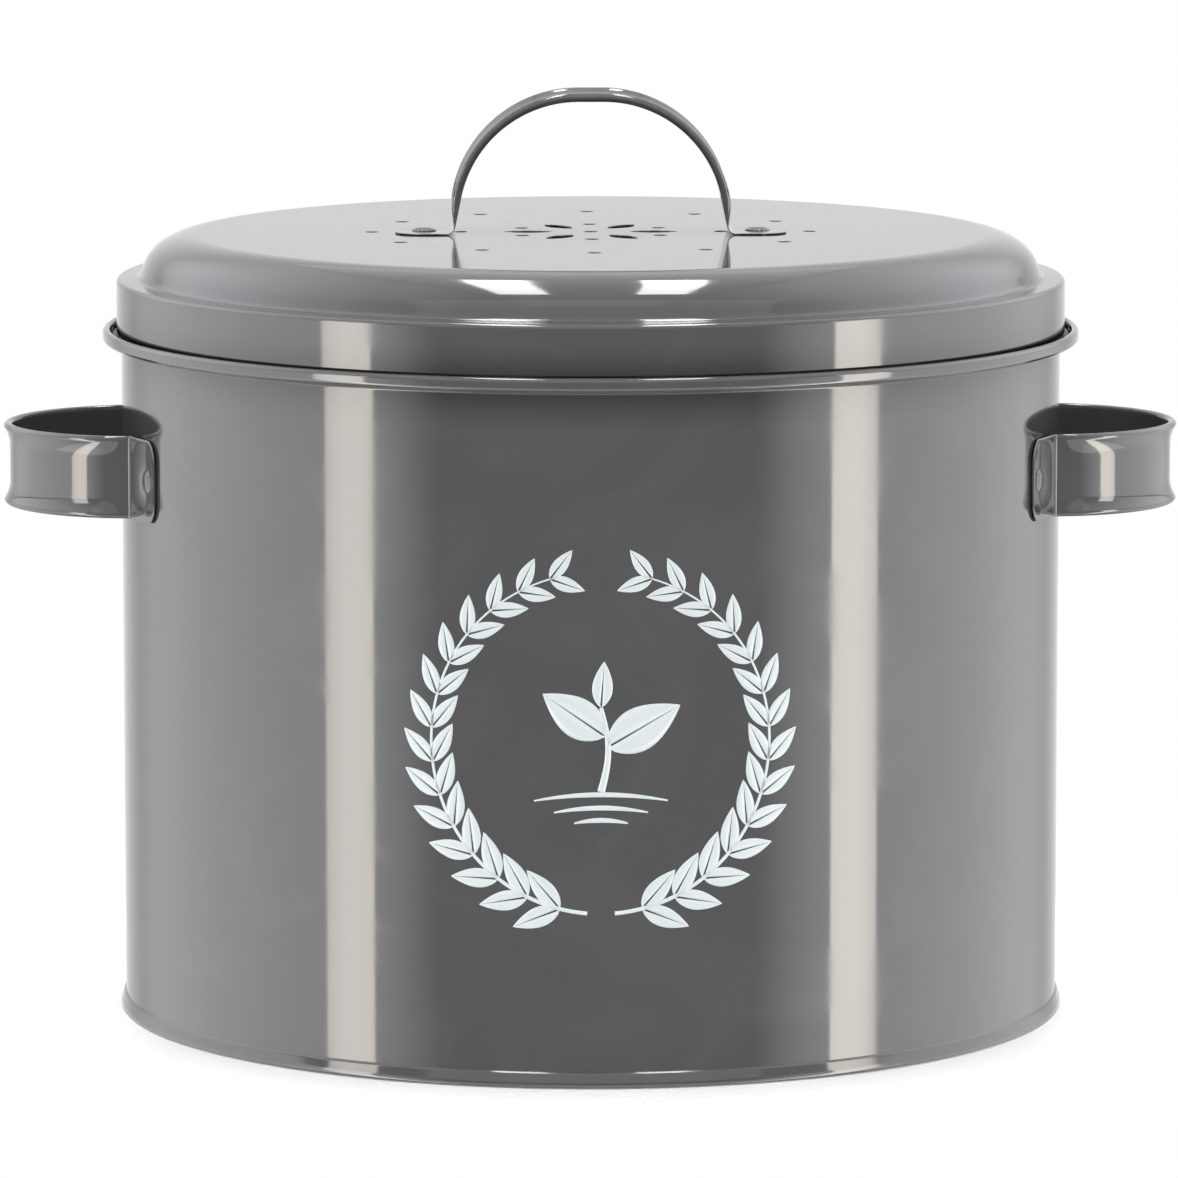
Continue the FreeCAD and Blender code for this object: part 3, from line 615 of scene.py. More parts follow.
@dataclass(frozen=True)
class StrapStock:
    """Strip with rolled edges that the three handles are bent from."""

    width: float = 19.2 * MM
    sheet: float = 0.7 * MM
    tab_sheet: float = 0.42 * MM
    roll_rise: float = 1.4 * MM
    roll_foot: float = 5.4 * MM
    lip: float = 1.0 * MM
    fade: float = 7.0 * MM
    dimple: float = 0.12 * MM
    dimple_size: float = 3.4 * MM
    dimple_fade: float = 4.0 * MM
    thin_before: float = 1.0 * MM
    thin_past: float = 3.0 * MM
    worn_lip: float = 0.9
    crease: float = 50.0
    lip_steps: int = 7
    roll_steps: int = 10
    web_steps: int = 5

    def half_section(
        self, rise: np.ndarray, sheet: np.ndarray
    ) -> tuple[np.ndarray, np.ndarray, np.ndarray]:
        """Section from one edge to the middle.

        The lip is half an ellipse from the inside round to the crest of the roll. Past it the outside
        flares down to the web as (1 - t)^2, t being the share of the way, and the inside stays flat.

        Args:
            rise: Height of the roll at each place along the strap.
            sheet: Thickness of the strip at each place.

        Returns:
            Distance from the edge, and the outside's and inside's height at each place and distance.
        """
        low = -self.sheet / 2
        turn = np.linspace(0, QUARTER, self.lip_steps)
        fall = np.linspace(0, 1, self.roll_steps + 1)[1:]
        web = np.linspace(self.roll_foot, self.width / 2, self.web_steps + 1)[1:]
        slope = self.lip + (self.roll_foot - self.lip) * fall
        distance = np.concatenate([self.lip * (1 - np.cos(turn)), slope, web])
        lifted, thick = rise[:, None], sheet[:, None]
        middle = low + (thick + lifted) / 2
        swell = (thick + lifted) / 2 * np.sin(turn)
        flare = low + thick + lifted * (1 - fall) ** 2
        flat = np.repeat(low + thick, len(web), axis=1)
        outside = np.concatenate([middle + swell, flare, flat], axis=1)
        level = np.full((len(rise), len(fall) + len(web)), low)
        inside = np.concatenate([middle - swell, level], axis=1)
        return distance, outside, inside

    def bent(
        self,
        line: BentLine,
        bare: float,
        tip: float,
        hole: float,
        to_space: np.ndarray,
        origin: np.ndarray,
    ) -> MeshDraft:
        """Carries the section along a path, with the roll faded out on the tabs and the tips rounded.

        The tabs are drawn down at their rivets: away from a rivet they stand off by the dimple's depth
        times one less a bell curve of the distance.

        Args:
            line: Middle line of the strap, its left side being the outside.
            bare: Length at both ends, with the bend, that has no roll.
            tip: Corner radius of the strap's ends.
            hole: Distance of the rivets from the ends.
            to_space: Rows that turn path across, path up and strap across into X, Y and Z.
            origin: Place of the path's origin.

        Returns:
            A closed draft of the strap.
        """
        along = line.lengths()
        inward = np.minimum(along, along[-1] - along)
        rise = self.roll_rise * smooth_step(inward, bare, bare + self.fade)
        short = np.clip(1 - inward / tip, 0, 1)
        half_width = self.width / 2 - tip * (1 - np.sqrt(1 - short**2))
        full = smooth_step(inward, bare - self.thin_before, bare + self.thin_past)
        sheet = self.tab_sheet + (self.sheet - self.tab_sheet) * full
        distance, outside, inside = self.half_section(rise, sheet)
        share = 1 - distance / (self.width / 2)
        across = np.concatenate([-share, share[-2::-1]]) * half_width[:, None]
        away = (inward[:, None] - hole) ** 2 + across**2
        stand = self.dimple * (1 - np.exp(-away / (2 * self.dimple_size**2)))
        stand *= 1 - smooth_step(inward, bare - self.dimple_fade, bare)[:, None]

        def row(height: np.ndarray) -> np.ndarray:
            """Points of one face at its heights over the middle line.

            Args:
                height: Heights from one edge to the middle, for each place along the strap.

            Returns:
                Points by place along and place across.
            """
            whole = np.concatenate([height, height[:, -2::-1]], axis=1) + stand
            flat = line.points[:, None] + line.normals[:, None] * whole[..., None]
            return np.concatenate([flat, across[..., None]], axis=2) @ to_space + origin

        outer, inner = row(outside), row(inside)
        loop = np.concatenate([outer, inner[:, -2:0:-1]], axis=1)
        near = np.clip(1 - distance / (self.worn_lip * self.lip), 0, 1)
        near = np.concatenate([near, near[-2::-1]])
        near = np.concatenate([near, near[-2:0:-1]])[None]
        draft = MeshDraft().patch(loop, wrap_v=True, edge=near)
        for place in (0, -1):
            draft.patch(np.stack([outer[place], inner[place]]))
        return draft


@dataclass(frozen=True)
class Rivet:
    """Domed rivet along Z, with the seat of its head at the origin."""

    head: float = 5.8 * MM
    dome: float = 1.0 * MM
    dish: float = 0.14 * MM
    dish_size: float = 1.1 * MM
    rim: float = 0.25 * MM
    shank: float = 4.0 * MM
    tail: float = 5.8 * MM
    tail_height: float = 1.1 * MM
    rim_per_bend: float = 2.2
    bend_per_seat: float = 4.0
    cap_steps: int = 14
    segments: int = 40

    def grid(self, grip: float) -> np.ndarray:
        """Turned rivet: a ball cap on a low rim, dished by a bell curve, the shank, and the flat tail.

        Args:
            grip: Thickness that the rivet holds.

        Returns:
            Grid of points, profile by angle.
        """
        reach, rise = self.head / 2 - self.rim / 2, self.dome - self.rim
        ball = (reach**2 + rise**2) / (2 * rise)
        turn = np.linspace(0, math.asin(reach / ball), self.cap_steps)
        away = ball * np.sin(turn)
        dished = self.dish * np.exp(-((away / self.dish_size) ** 2))
        cap = np.stack([away, self.dome - ball + ball * np.cos(turn) - dished], axis=1)
        corners = [
            (reach, self.rim), (self.head / 2, self.rim), (self.head / 2, 0.0),
            (self.shank / 2, 0.0), (self.shank / 2, -grip), (self.tail / 2, -grip),
            (self.tail / 2, -grip - self.tail_height), (0.0, -grip - self.tail_height),
        ]
        bend = self.rim / self.rim_per_bend
        seat = bend / self.bend_per_seat
        foot = BentLine.through(corners, [bend, seat, seat, seat, bend, bend], steps=4, pitch=2 * MM)
        return turned(np.concatenate([cap[:-1], foot.points]), full_turn(self.segments))

    def pair(
        self, name: str, grip: float, seats: Iterable[tuple[Sequence[float], Sequence[float]]]
    ) -> bpy.types.Object:
        """Makes one piece of a handle's two rivets.

        Args:
            name: Name of the piece.
            grip: Thickness that the rivets hold.
            seats: Seat and outward direction of each rivet.

        Returns:
            Both rivets.
        """
        draft = MeshDraft()
        for seat, outward in seats:
            draft.patch(set_at(self.grid(grip), seat, outward), wrap_v=True)
        return draft.piece(name)


def set_at(grid: np.ndarray, seat: Sequence[float], outward: Sequence[float]) -> np.ndarray:
    """Turns a grid's Z axis to a direction and moves its origin to a seat.

    Args:
        grid: Points to move.
        seat: New place of the origin.
        outward: New direction of the Z axis.

    Returns:
        The moved points.
    """
    turn = np.array(Vector(outward).to_track_quat("Z", "Y").to_matrix())
    return grid @ turn.T + np.asarray(seat)


# ---------------------------------------------------------------- pail


@dataclass
class PailAssembly:
    """Rolled wall with its rim, folded base, two side handles and their rivets."""

    radius: float = 110.0 * MM
    sheet: float = 0.5 * MM
    seat_gap: float = 0.05 * MM
    rim_height: float = 160.5 * MM
    bead_height: float = 3.1 * MM
    bead_top: float = 0.85 * MM
    bead_tuck: float = 0.95 * MM
    bead_low: float = 0.75 * MM
    outside: float = 114.36 * MM
    trough_width: float = 2.6 * MM
    trough_depth: float = 3.1 * MM
    trough_bend: float = 0.9 * MM
    seam_width: float = 5.0 * MM
    seam_rise: float = 0.6 * MM
    seam_low: float = 4.2 * MM
    seam_high: float = 155.2 * MM
    seam_fade: float = 4.0 * MM
    seam_edge: float = 0.3 * MM
    seam_samples: tuple[float, ...] = (3.2, 2.75, 2.5, 2.25, 1.9, 1.35, 1.1, 0.9, 0.7, 0.45)
    crease_aside: float = 0.9 * MM
    crease_edges: tuple[float, float] = (0.1 * MM, 0.5 * MM)
    crease_depth: float = 0.45
    skin: float = 0.01 * MM
    # Painted shade on the wall's faces: it grows up to just under the bead, in place of the bead's
    # shadow.
    shade_skin: float = 0.3 * MM
    shade_low: float = 149.5 * MM
    shade_high: float = 156.6 * MM
    base_recess: float = 4.5 * MM
    base_bend: float = 1.5 * MM
    foot_bend: float = 0.5 * MM
    fold: float = 1.05 * MM
    fold_waist: float = 1.3 * MM
    fold_top: float = 0.45 * MM
    fold_height: float = 3.4 * MM
    fold_drop: float = 0.1 * MM
    fold_round: float = 0.9 * MM
    fold_bend: float = 1.6 * MM
    joint_rise: float = 0.35 * MM
    joint_bend: float = 0.5 * MM
    tight_bend: float = 0.05 * MM
    handle_drop: float = 32.0 * MM
    handle_bend: float = 31.64 * MM
    handle_leg: float = 7.56 * MM
    handle_taper: float = 16.0
    tab_bend: float = 1.2 * MM
    tab_rivet: float = 8.0 * MM
    tab_beyond: float = 5.0 * MM
    tab_round: float = 4.5 * MM
    tab_lift: float = 1.3 * MM
    tab_ease: float = 12.0 * MM
    tail_gap: float = 0.1 * MM
    tip_steps: int = 9
    segments: int = 288
    strap: StrapStock = StrapStock(dimple=0.26 * MM, dimple_size=3.2 * MM)
    rivet: Rivet = Rivet()

    def rivet_turn(self) -> float:
        """Angle from the X axis to a side rivet, whose tab lies along the wall's tangent there."""
        aside = self._leg_run() * math.sin(self._taper()) + self.tab_rivet
        return math.asin(aside / self._tab_line())

    def _taper(self) -> float:
        """Turn of each leg towards the other, in radians."""
        return math.radians(self.handle_taper)

    def _leg_run(self) -> float:
        """Distance along a leg's line from its tab's corner to the point where both lines meet."""
        return self.handle_bend / math.tan(self._taper()) + self.handle_leg

    def _tab_line(self) -> float:
        """Distance from the axis to the middle of a tab."""
        return self.radius + self.seat_gap + self.strap.sheet / 2

    def build_wall(self) -> bpy.types.Object:
        """Wall, trough and curled bead turned round the axis, with a lock seam down the back.

        The section is the bent line offset by half the sheet to both sides. On the outside the radius
        grows over the seam by a flat-topped band with a crease, faded out at both its ends.

        Returns:
            The wall.
        """
        half = self.sheet / 2
        wall = self.radius - half
        trough = self.radius + self.trough_width + half
        bead = self.outside - half
        floor = self.rim_height - self.trough_depth - half
        top = self.rim_height - half
        low = self.rim_height - self.bead_height + half
        foot = self.sheet + self.seat_gap
        corners = [
            (wall, foot), (wall, floor), (trough, floor), (trough, top), (bead, top), (bead, low),
            (bead - self.bead_tuck, low),
        ]
        inner = bead - trough - self.bead_top
        bends = [self.trough_bend, self.trough_bend, inner, self.bead_top, self.bead_low]
        line = BentLine.through(corners, bends, steps=12, pitch=4 * MM)
        profile = np.concatenate([line.beside(half), line.beside(-half)[::-1]])
        fine = np.array(self.seam_samples) * MM / self.radius
        angles = np.concatenate([full_turn(self.segments), QUARTER + fine, QUARTER - fine])
        angles = np.unique(np.round(angles, 7))
        grid = turned(profile, angles)
        aside = (angles - QUARTER) * self.radius
        edge = self.seam_width / 2
        band = 1 - smooth_step(np.abs(aside), edge - self.seam_edge, edge + self.seam_edge)
        crease = 1 - smooth_step(np.abs(aside + self.crease_aside), *self.crease_edges)
        height, depth = profile[:, 1], np.abs(profile[:, 0] - self.radius)
        span = smooth_step(height, self.seam_low, self.seam_low + self.seam_fade)
        span *= 1 - smooth_step(height, self.seam_high - self.seam_fade, self.seam_high)
        span *= depth < self.skin
        lift = self.seam_rise * span[:, None] * (band - self.crease_depth * crease * band)
        grid[..., 0] += lift * np.cos(angles)
        grid[..., 1] += lift * np.sin(angles)
        # Painted shade: the wall's faces darken upwards to just under the bead, as if in its shadow.
        painted_shade = np.clip((height - self.shade_low) / (self.shade_high - self.shade_low), 0, 1)
        painted_shade = (painted_shade * (depth < self.shade_skin))[:, None]
        return MeshDraft().patch(grid, wrap_u=True, wrap_v=True, painted_shade=painted_shade).piece("rolled_wall")

    def build_base(self) -> bpy.types.Object:
        """Base pan and the seam folded round the wall's foot, as one turned section.

        The seam swells from its top to its waist, and the enamel fills its joint with the wall.

        Returns:
            The base.
        """
        inside = self.radius - self.sheet - self.seat_gap
        low, high = self.base_recess, self.base_recess + self.sheet
        waist, crest = self.radius + self.fold, self.radius + self.fold_top
        joint = self.radius - self.seat_gap
        corners = [
            (0.0, low), (inside - self.sheet, low), (inside - self.sheet, 0.0), (waist, 0.0),
            (waist, self.fold_waist), (crest, self.fold_height - self.fold_drop),
            (joint, self.fold_height + self.joint_rise), (joint, self.sheet), (inside, self.sheet),
            (inside, high), (0.0, high),
        ]
        bends = [
            self.base_bend - self.sheet / 2, self.foot_bend + self.sheet / 2, self.fold_round,
            self.fold_bend, self.joint_bend, *3 * [self.tight_bend], self.base_bend + self.sheet / 2,
        ]
        line = BentLine.through(corners, bends, steps=8, pitch=12 * MM)
        grid = turned(line.points, full_turn(self.segments))
        return MeshDraft().patch(grid, wrap_v=True).piece("folded_base")

    def build_handle(self, side: Side) -> bpy.types.Object:
        """Side strap in plan: two tabs on the wall, legs that lean together and a round grip.

        Past its rivet each tab eases off the wall, up to its corner with the leg.

        Args:
            side: Side of the pail.

        Returns:
            The strap.
        """
        taper, turn = self._taper(), self.rivet_turn()
        run, tab = self._leg_run(), self._tab_line()
        along_leg = np.array([math.cos(taper), -math.sin(taper)])
        outward = np.array([math.cos(turn), math.sin(turn)])
        tangent = np.array([-math.sin(turn), math.cos(turn)])
        leg = run * math.sin(taper)
        bend = np.array([(tab - leg * math.sin(turn)) / math.cos(turn), leg])
        apex = bend + run * along_leg
        rivet = tab * outward
        half = [rivet + self.tab_beyond * tangent, rivet, bend + self.tab_lift * along_leg]
        corners = [*half, apex, *(point * [1, -1] for point in half[::-1])]
        bends = [self.tab_ease, self.tab_bend, self.handle_bend, self.tab_bend, self.tab_ease]
        tips = self.tab_round * (1 - np.cos(np.linspace(0, QUARTER, self.tip_steps)))
        line = BentLine.through(corners, bends, steps=40, pitch=1.5 * MM, ends=tips)
        bare = self.tab_beyond + float(np.linalg.norm(half[2] - half[1]))
        to_space = np.array([[side.value, 0, 0], [0, 1, 0], [0, 0, 1]], float)
        origin = np.array([0, 0, self.rim_height - self.handle_drop])
        draft = self.strap.bent(line, bare, self.tab_round, self.tab_beyond, to_space, origin)
        return draft.piece(f"{side.name.lower()}_strap", self.strap.crease)

    def build_rivets(self, side: Side) -> bpy.types.Object:
        """The two rivets of a side handle, square to the tabs.

        Args:
            side: Side of the pail.

        Returns:
            Both rivets as one piece.
        """
        grip = self.strap.tab_sheet + self.seat_gap + self.sheet + self.tail_gap
        seat = self.radius + self.seat_gap + self.strap.tab_sheet
        up = np.array([0.0, 0.0, self.rim_height - self.handle_drop])
        turn = self.rivet_turn()
        cos, sin = side.value * math.cos(turn), math.sin(turn)
        ways = np.array([[cos, -sin, 0.0], [cos, sin, 0.0]])
        seats = [(way * seat + up, way) for way in ways]
        return self.rivet.pair(f"{side.name.lower()}_rivet_pair", grip, seats)

    def dress(self, dresser: Dresser) -> None:
        """Builds the pail's pieces and gives them their enamel.

        Args:
            dresser: What gives the pieces their finish and body.
        """
        pieces = {"pail_wall": self.build_wall(), "base_pan": self.build_base()}
        for side in Side:
            name = side.name.lower()
            pieces[f"{name}_handle"] = self.build_handle(side)
            pieces[f"{name}_handle_rivets"] = self.build_rivets(side)
        for node, thing in pieces.items():
            dresser.piece(thing, ENAMEL, Slot.ENAMEL, Body.PAIL, node)


# ---------------------------------------------------------------- print on the wall


@dataclass
class SproutPrint:
    """Pale print on the front of the wall: a wreath of leaves round a seedling."""

    wall_radius: float = 110.0 * MM
    height: float = 78.3 * MM
    aside: float = 0.4 * MM
    radius: float = 38.6 * MM
    film: float = 0.05 * MM
    leaf_length: float = 11.5 * MM
    leaf_width: float = 4.6 * MM
    leaf_pairs: int = 14
    leaf_start: float = 0.24
    leaf_lean: float = 0.62
    leaf_powers: tuple[float, float] = (0.8, 0.9)
    last_leaf_share: float = 0.72
    rib: float = 0.5 * MM
    rib_share: float = 0.98
    stem: float = 0.9 * MM
    stem_end_share: float = 0.4
    stem_start: float = 0.08
    gap_turn: float = 0.30
    sprout_bow: float = 1.6
    sprout_foot: float = -11.0
    sprout_height: float = 19.0
    sprout_widths: tuple[float, float] = (1.7, 0.9)
    sprout_bases: tuple[Corner, ...] = ((1.3, -1.0), (1.0, 1.5), (0.0, 8.0))
    sprout_turns: tuple[float, ...] = (0.52, math.pi - 0.60, 1.50)
    sprout_lengths: tuple[float, ...] = (19.0, 17.0, 10.5)
    sprout_half_widths: tuple[float, ...] = (4.9, 4.5, 2.3)
    furrows: tuple[Triple, ...] = ((-11.6, 15.0, 1.5), (-14.6, 10.5, 1.1), (-17.4, 6.0, 0.7))
    furrow_width: float = 1.1 * MM
    furrow_taper: float = 1.25

    def on_wall(self, flat: np.ndarray) -> np.ndarray:
        """Wraps flat print coordinates round the wall: across becomes an angle, up stays up.

        Args:
            flat: Across and up of each point, from the print's middle.

        Returns:
            Points just proud of the wall.
        """
        angle = (flat[..., 0] + self.aside) / self.wall_radius
        out = self.wall_radius + self.film
        height = flat[..., 1] + self.height
        return np.stack([out * np.sin(angle), -out * np.cos(angle), height], axis=-1)

    def add_leaves(
        self,
        draft: MeshDraft,
        bases: np.ndarray,
        turns: np.ndarray,
        lengths: np.ndarray,
        widths: np.ndarray,
    ) -> None:
        """Adds leaf halves either side of a bare rib, worked out for all leaves at once.

        The half width is the leaf's width times a power of the sine of pi times a power of s, with s
        from base to tip, and the rib's gap narrows to nothing at the tip.

        Args:
            draft: Draft that takes the leaves.
            bases: Base of each leaf.
            turns: Direction of each leaf.
            lengths: Length of each leaf.
            widths: Half width of each leaf.
        """
        s = np.linspace(0, 1, 17)[None, None, :, None]
        q = np.linspace(0, 1, 4)[None, None, None, :]
        half = np.array([1.0, -1.0])[None, :, None, None]
        given = (lengths, widths, turns, bases)
        length, width, turn, base = (values[:, None, None, None] for values in given)
        skew, blunt = self.leaf_powers
        full = width * np.sin(math.pi * s**skew) ** blunt
        gap = np.minimum(self.rib / 2 * (1 - s), full * self.rib_share)
        out = half * (gap + q * (full - gap))
        along = np.broadcast_to(s * length, out.shape)
        across = base[..., 0] + along * np.cos(turn) - out * np.sin(turn)
        up = base[..., 1] + along * np.sin(turn) + out * np.cos(turn)
        lobes = np.stack([across, up], axis=-1)
        for lobe in lobes.reshape(-1, *lobes.shape[2:]):
            draft.patch(self.on_wall(lobe))

    def stroke(self, path: np.ndarray, width: np.ndarray) -> np.ndarray:
        """Brush stroke: a path widened by half its width to both sides.

        Args:
            path: Flat points.
            width: Width at each point.

        Returns:
            Flat points by place along and place across.
        """
        heading = np.gradient(path, axis=0)
        heading /= np.linalg.norm(heading, axis=1)[:, None]
        normal = np.stack([-heading[:, 1], heading[:, 0]], axis=1)
        across = np.linspace(-0.5, 0.5, 3)[None, :, None]
        return path[:, None] + normal[:, None] * across * width[:, None, None]

    def build(self) -> bpy.types.Object:
        """Two leafy stems up both sides of a circle, and a seedling on a mound in the middle.

        Returns:
            The print, a thin film with a back face.
        """
        draft = MeshDraft()
        for side in (1.0, -1.0):
            turn = np.linspace(self.stem_start, math.pi - self.gap_turn, 60)
            path = self.radius * np.stack([side * np.sin(turn), -np.cos(turn)], axis=1)
            width = np.linspace(self.stem, self.stem_end_share * self.stem, len(turn))
            draft.patch(self.on_wall(self.stroke(path, width)))
            at = np.linspace(self.leaf_start, math.pi - self.gap_turn, self.leaf_pairs)
            base = self.radius * np.stack([side * np.sin(at), -np.cos(at)], axis=1)
            heading = at if side > 0 else math.pi - at
            size = np.linspace(1.0, self.last_leaf_share, self.leaf_pairs)
            length, width = self.leaf_length * size, self.leaf_width / 2 * size
            for lean in (self.leaf_lean, -self.leaf_lean):
                self.add_leaves(draft, base, heading + lean, length, width)
        self._seedling(draft)
        made = draft.piece("wreath_print")
        film = made.modifiers.new("film", "SOLIDIFY")
        film.thickness = 2 * self.film
        film.offset = -1.0
        return made

    def _seedling(self, draft: MeshDraft) -> None:
        """Adds the middle: a bowed stem, a pair of broad leaves, a bud and three furrows.

        The stem bows aside by half a sine wave, and a furrow sags with the square of the way out and
        thins as a cosine of it. The sprout's sizes are in millimetres.

        Args:
            draft: Draft that takes the strokes and leaves.
        """
        rise = np.linspace(0, 1, 40)
        up = self.sprout_foot + self.sprout_height * rise
        stem = np.stack([self.sprout_bow * np.sin(math.pi * rise), up], axis=1) * MM
        width = np.linspace(*self.sprout_widths, len(rise)) * MM
        draft.patch(self.on_wall(self.stroke(stem, width)))
        bases, turns = np.array(self.sprout_bases) * MM, np.array(self.sprout_turns)
        lengths, widths = np.array(self.sprout_lengths) * MM, np.array(self.sprout_half_widths) * MM
        self.add_leaves(draft, bases, turns, lengths, widths)
        for drop, half, sag in self.furrows:
            x = np.linspace(-half, half, 40)
            path = np.stack([x, drop - sag * (x / half) ** 2], axis=1) * MM
            width = self.furrow_width * np.cos(x / half * self.furrow_taper)
            draft.patch(self.on_wall(self.stroke(path, width)))

    def dress(self, dresser: Dresser) -> None:
        """Builds the print and inks it."""
        dresser.piece(self.build(), PRINT_INK, Slot.ENAMEL, Body.PAIL)


# ---------------------------------------------------------------- lid


@dataclass
class LidAssembly:
    """Pressed lid with vents, its arched strap, and the filter's fittings below it."""

    radius: float = 111.1 * MM
    sheet: float = 0.5 * MM
    seat: float = 159.0 * MM
    skirt: float = 13.0 * MM
    hem_depth: float = 1.4 * MM
    hem_height: float = 4.0 * MM
    hem_edge: float = 0.35 * MM
    hem_wear: float = 0.8
    # Painted shade on the skirt: it grows down to the hem, in place of shade above the pail's bead.
    shade_low: float = 160.0 * MM
    shade_high: float = 166.8 * MM
    ledge: float = 5.35 * MM
    ledge_slope: float = 2.5
    ledge_bend: float = 1.0 * MM
    step_bend: float = 1.5 * MM
    straight: float = 1.865 * MM
    low_bend: float = 9.8 * MM
    high_bend: float = 17.0 * MM
    steep: float = 70.0
    middle: float = 30.0
    flat_radius: float = 86.0 * MM
    vent: float = 3.2 * MM
    vent_round: float = 0.22 * MM
    vent_wear: float = 0.7
    outer_ring: tuple[float, int] = (51.2 * MM, 12)
    inner_ring: tuple[float, int] = (18.6 * MM, 6)
    vent_support: float = 0.3 * MM
    foot_vents: float = 30.6 * MM
    leaf: Triple = (9.0 * MM, 20.5 * MM, 5.0 * MM)
    leaf_count: int = 6
    handle_bend: float = 28.25 * MM
    handle_flat: float = 5.9 * MM
    handle_leg: float = 6.93 * MM
    leg_lean: float = 11.5
    foot_bend: float = 2.0 * MM
    foot_reach: float = 13.4 * MM
    foot_round: float = 6.0 * MM
    foot_bare: float = 0.3
    rivet_offset: float = 6.71 * MM
    lug: float = 1.8 * MM
    seat_gap: float = 0.05 * MM
    crease: float = 40.0
    round_steps: int = 28
    slot_steps: int = 15
    lip_steps: int = 5
    tip_steps: int = 11
    segments: int = 288
    strap: StrapStock = StrapStock(tab_sheet=0.24 * MM)
    rivet: Rivet = Rivet()

    def section(self) -> tuple[list[Corner], list[float]]:
        """Corners and bends of the lid's outside, from the flat top out and down to the hem.

        Each bend reaches its radius times the tangent of half its turn along both runs, so the two
        bends of the shoulder meet with no straight run between them.

        Returns:
            The corners and the bend radii.
        """
        steep, middle, slope = np.radians([self.steep, self.middle, self.ledge_slope])
        low_reach = self.low_bend * math.tan((steep - middle) / 2)
        high_reach = self.high_bend * math.tan(middle / 2)
        step_reach = self.step_bend * math.tan((steep - slope) / 2)
        step = (self.radius - self.ledge, self.seat + self.skirt + self.ledge * math.tan(slope))
        run = low_reach + self.straight + step_reach
        shoulder = (step[0] - run * math.cos(steep), step[1] + run * math.sin(steep))
        run = high_reach + low_reach
        crown = (shoulder[0] - run * math.cos(middle), shoulder[1] + run * math.sin(middle))
        inside = self.radius - self.hem_depth
        corners = [
            (self.flat_radius, crown[1]), crown, shoulder, step, (self.radius, self.seat + self.skirt),
            (self.radius, self.seat), (inside, self.seat), (inside, self.seat + self.hem_height),
        ]
        hem = self.hem_depth / 2
        return corners, [self.high_bend, self.low_bend, self.step_bend, self.ledge_bend, hem, hem]

    def top(self) -> float:
        """Height of the flat top."""
        return self.section()[0][0][1]

    def vent_outlines(self) -> list[tuple[np.ndarray, np.ndarray]]:
        """Outline points and outward normals of every vent: rings of round holes and leaf slots.

        A leaf slot lies between two arcs that meet in points at its start and end.

        Returns:
            Points and normals of each outline.
        """
        turn = full_turn(self.round_steps)
        circle = np.stack([np.cos(turn), np.sin(turn)], axis=1)
        places = [(0.0, 0.0), (self.foot_vents, 0.0), (-self.foot_vents, 0.0)]
        for (radius, count), first in ((self.outer_ring, 0.0), (self.inner_ring, 0.5)):
            angle = (np.arange(count) + first) * FULL / count
            places += list(zip(radius * np.cos(angle), radius * np.sin(angle)))
        outlines = [(np.array(place) + circle * self.vent / 2, circle) for place in places]
        start, end, width = self.leaf
        half, rise = (end - start) / 2, width / 2
        arc = (half**2 + rise**2) / (2 * rise)
        sweep = np.linspace(-1, 1, self.slot_steps)[:-1] * math.asin(half / arc)
        normal = np.stack([np.sin(sweep), np.cos(sweep)], axis=1)
        side = normal * arc + [(start + end) / 2, rise - arc]
        points = np.concatenate([side, [start + end, 0] - side])
        normals = np.concatenate([normal, -normal])
        normals[[0, len(side)]] = [[-1, 0], [1, 0]]
        for turn in full_turn(self.leaf_count):
            cos, sin = math.cos(turn), math.sin(turn)
            spin = np.array([[cos, sin], [-sin, cos]])
            outlines.append((points @ spin, normals @ spin))
        return outlines

    def build_shell(self) -> bpy.types.Object:
        """Lid turned from its section, closed by a flat top whose vents have softened edges.

        A vent's wall is a profile carried along its outline: a quarter round from the top face, the
        sheet's thickness, and a quarter round to the under face. Both flat faces are triangulated
        between the outlines and the turned part's edge.

        Returns:
            The lid.
        """
        corners, bends = self.section()
        line = BentLine.through(corners, bends, steps=16, pitch=3 * MM)
        profile = np.concatenate([line.beside(0.0), line.beside(-self.sheet)[::-1]])
        angles = full_turn(self.segments)
        height = profile[:, 1:]
        hem = self.hem_wear * (height < self.seat + self.hem_edge)
        # Painted shade: the lower skirt darkens down to the hem, as if shaded by the pail's bead.
        painted_shade = np.clip((self.shade_high - height) / (self.shade_high - self.shade_low), 0, 1)
        draft = MeshDraft().patch(turned(profile, angles), wrap_v=True, edge=hem, painted_shade=painted_shade)
        top, under = self.top(), self.top() - self.sheet
        turn = np.linspace(0, QUARTER, self.lip_steps)
        lip_out = np.append(self.vent_round + self.vent_support, self.vent_round * (1 - np.sin(turn)))
        lip_down = np.append(0.0, self.vent_round * (1 - np.cos(turn)))
        out = np.concatenate([lip_out, lip_out[::-1]])
        level = np.concatenate([top - lip_down, under + lip_down[::-1]])
        near = np.where(out > self.vent_round, 0.0, self.vent_wear)[:, None]
        loops = [self.flat_radius * np.stack([np.cos(angles), np.sin(angles)], axis=1)]
        for points, normals in self.vent_outlines():
            flat = points + normals * out[:, None, None]
            heights = np.broadcast_to(level[:, None, None], (*flat.shape[:2], 1))
            draft.patch(np.concatenate([flat, heights], axis=2), wrap_v=True, edge=near)
            loops.append(flat[0])
        flat, faces = self._between(loops)
        for height in (top, under):
            draft.triangles(np.column_stack([flat, np.full(len(flat), height)]), faces)
        return draft.piece("vented_lid", self.crease)

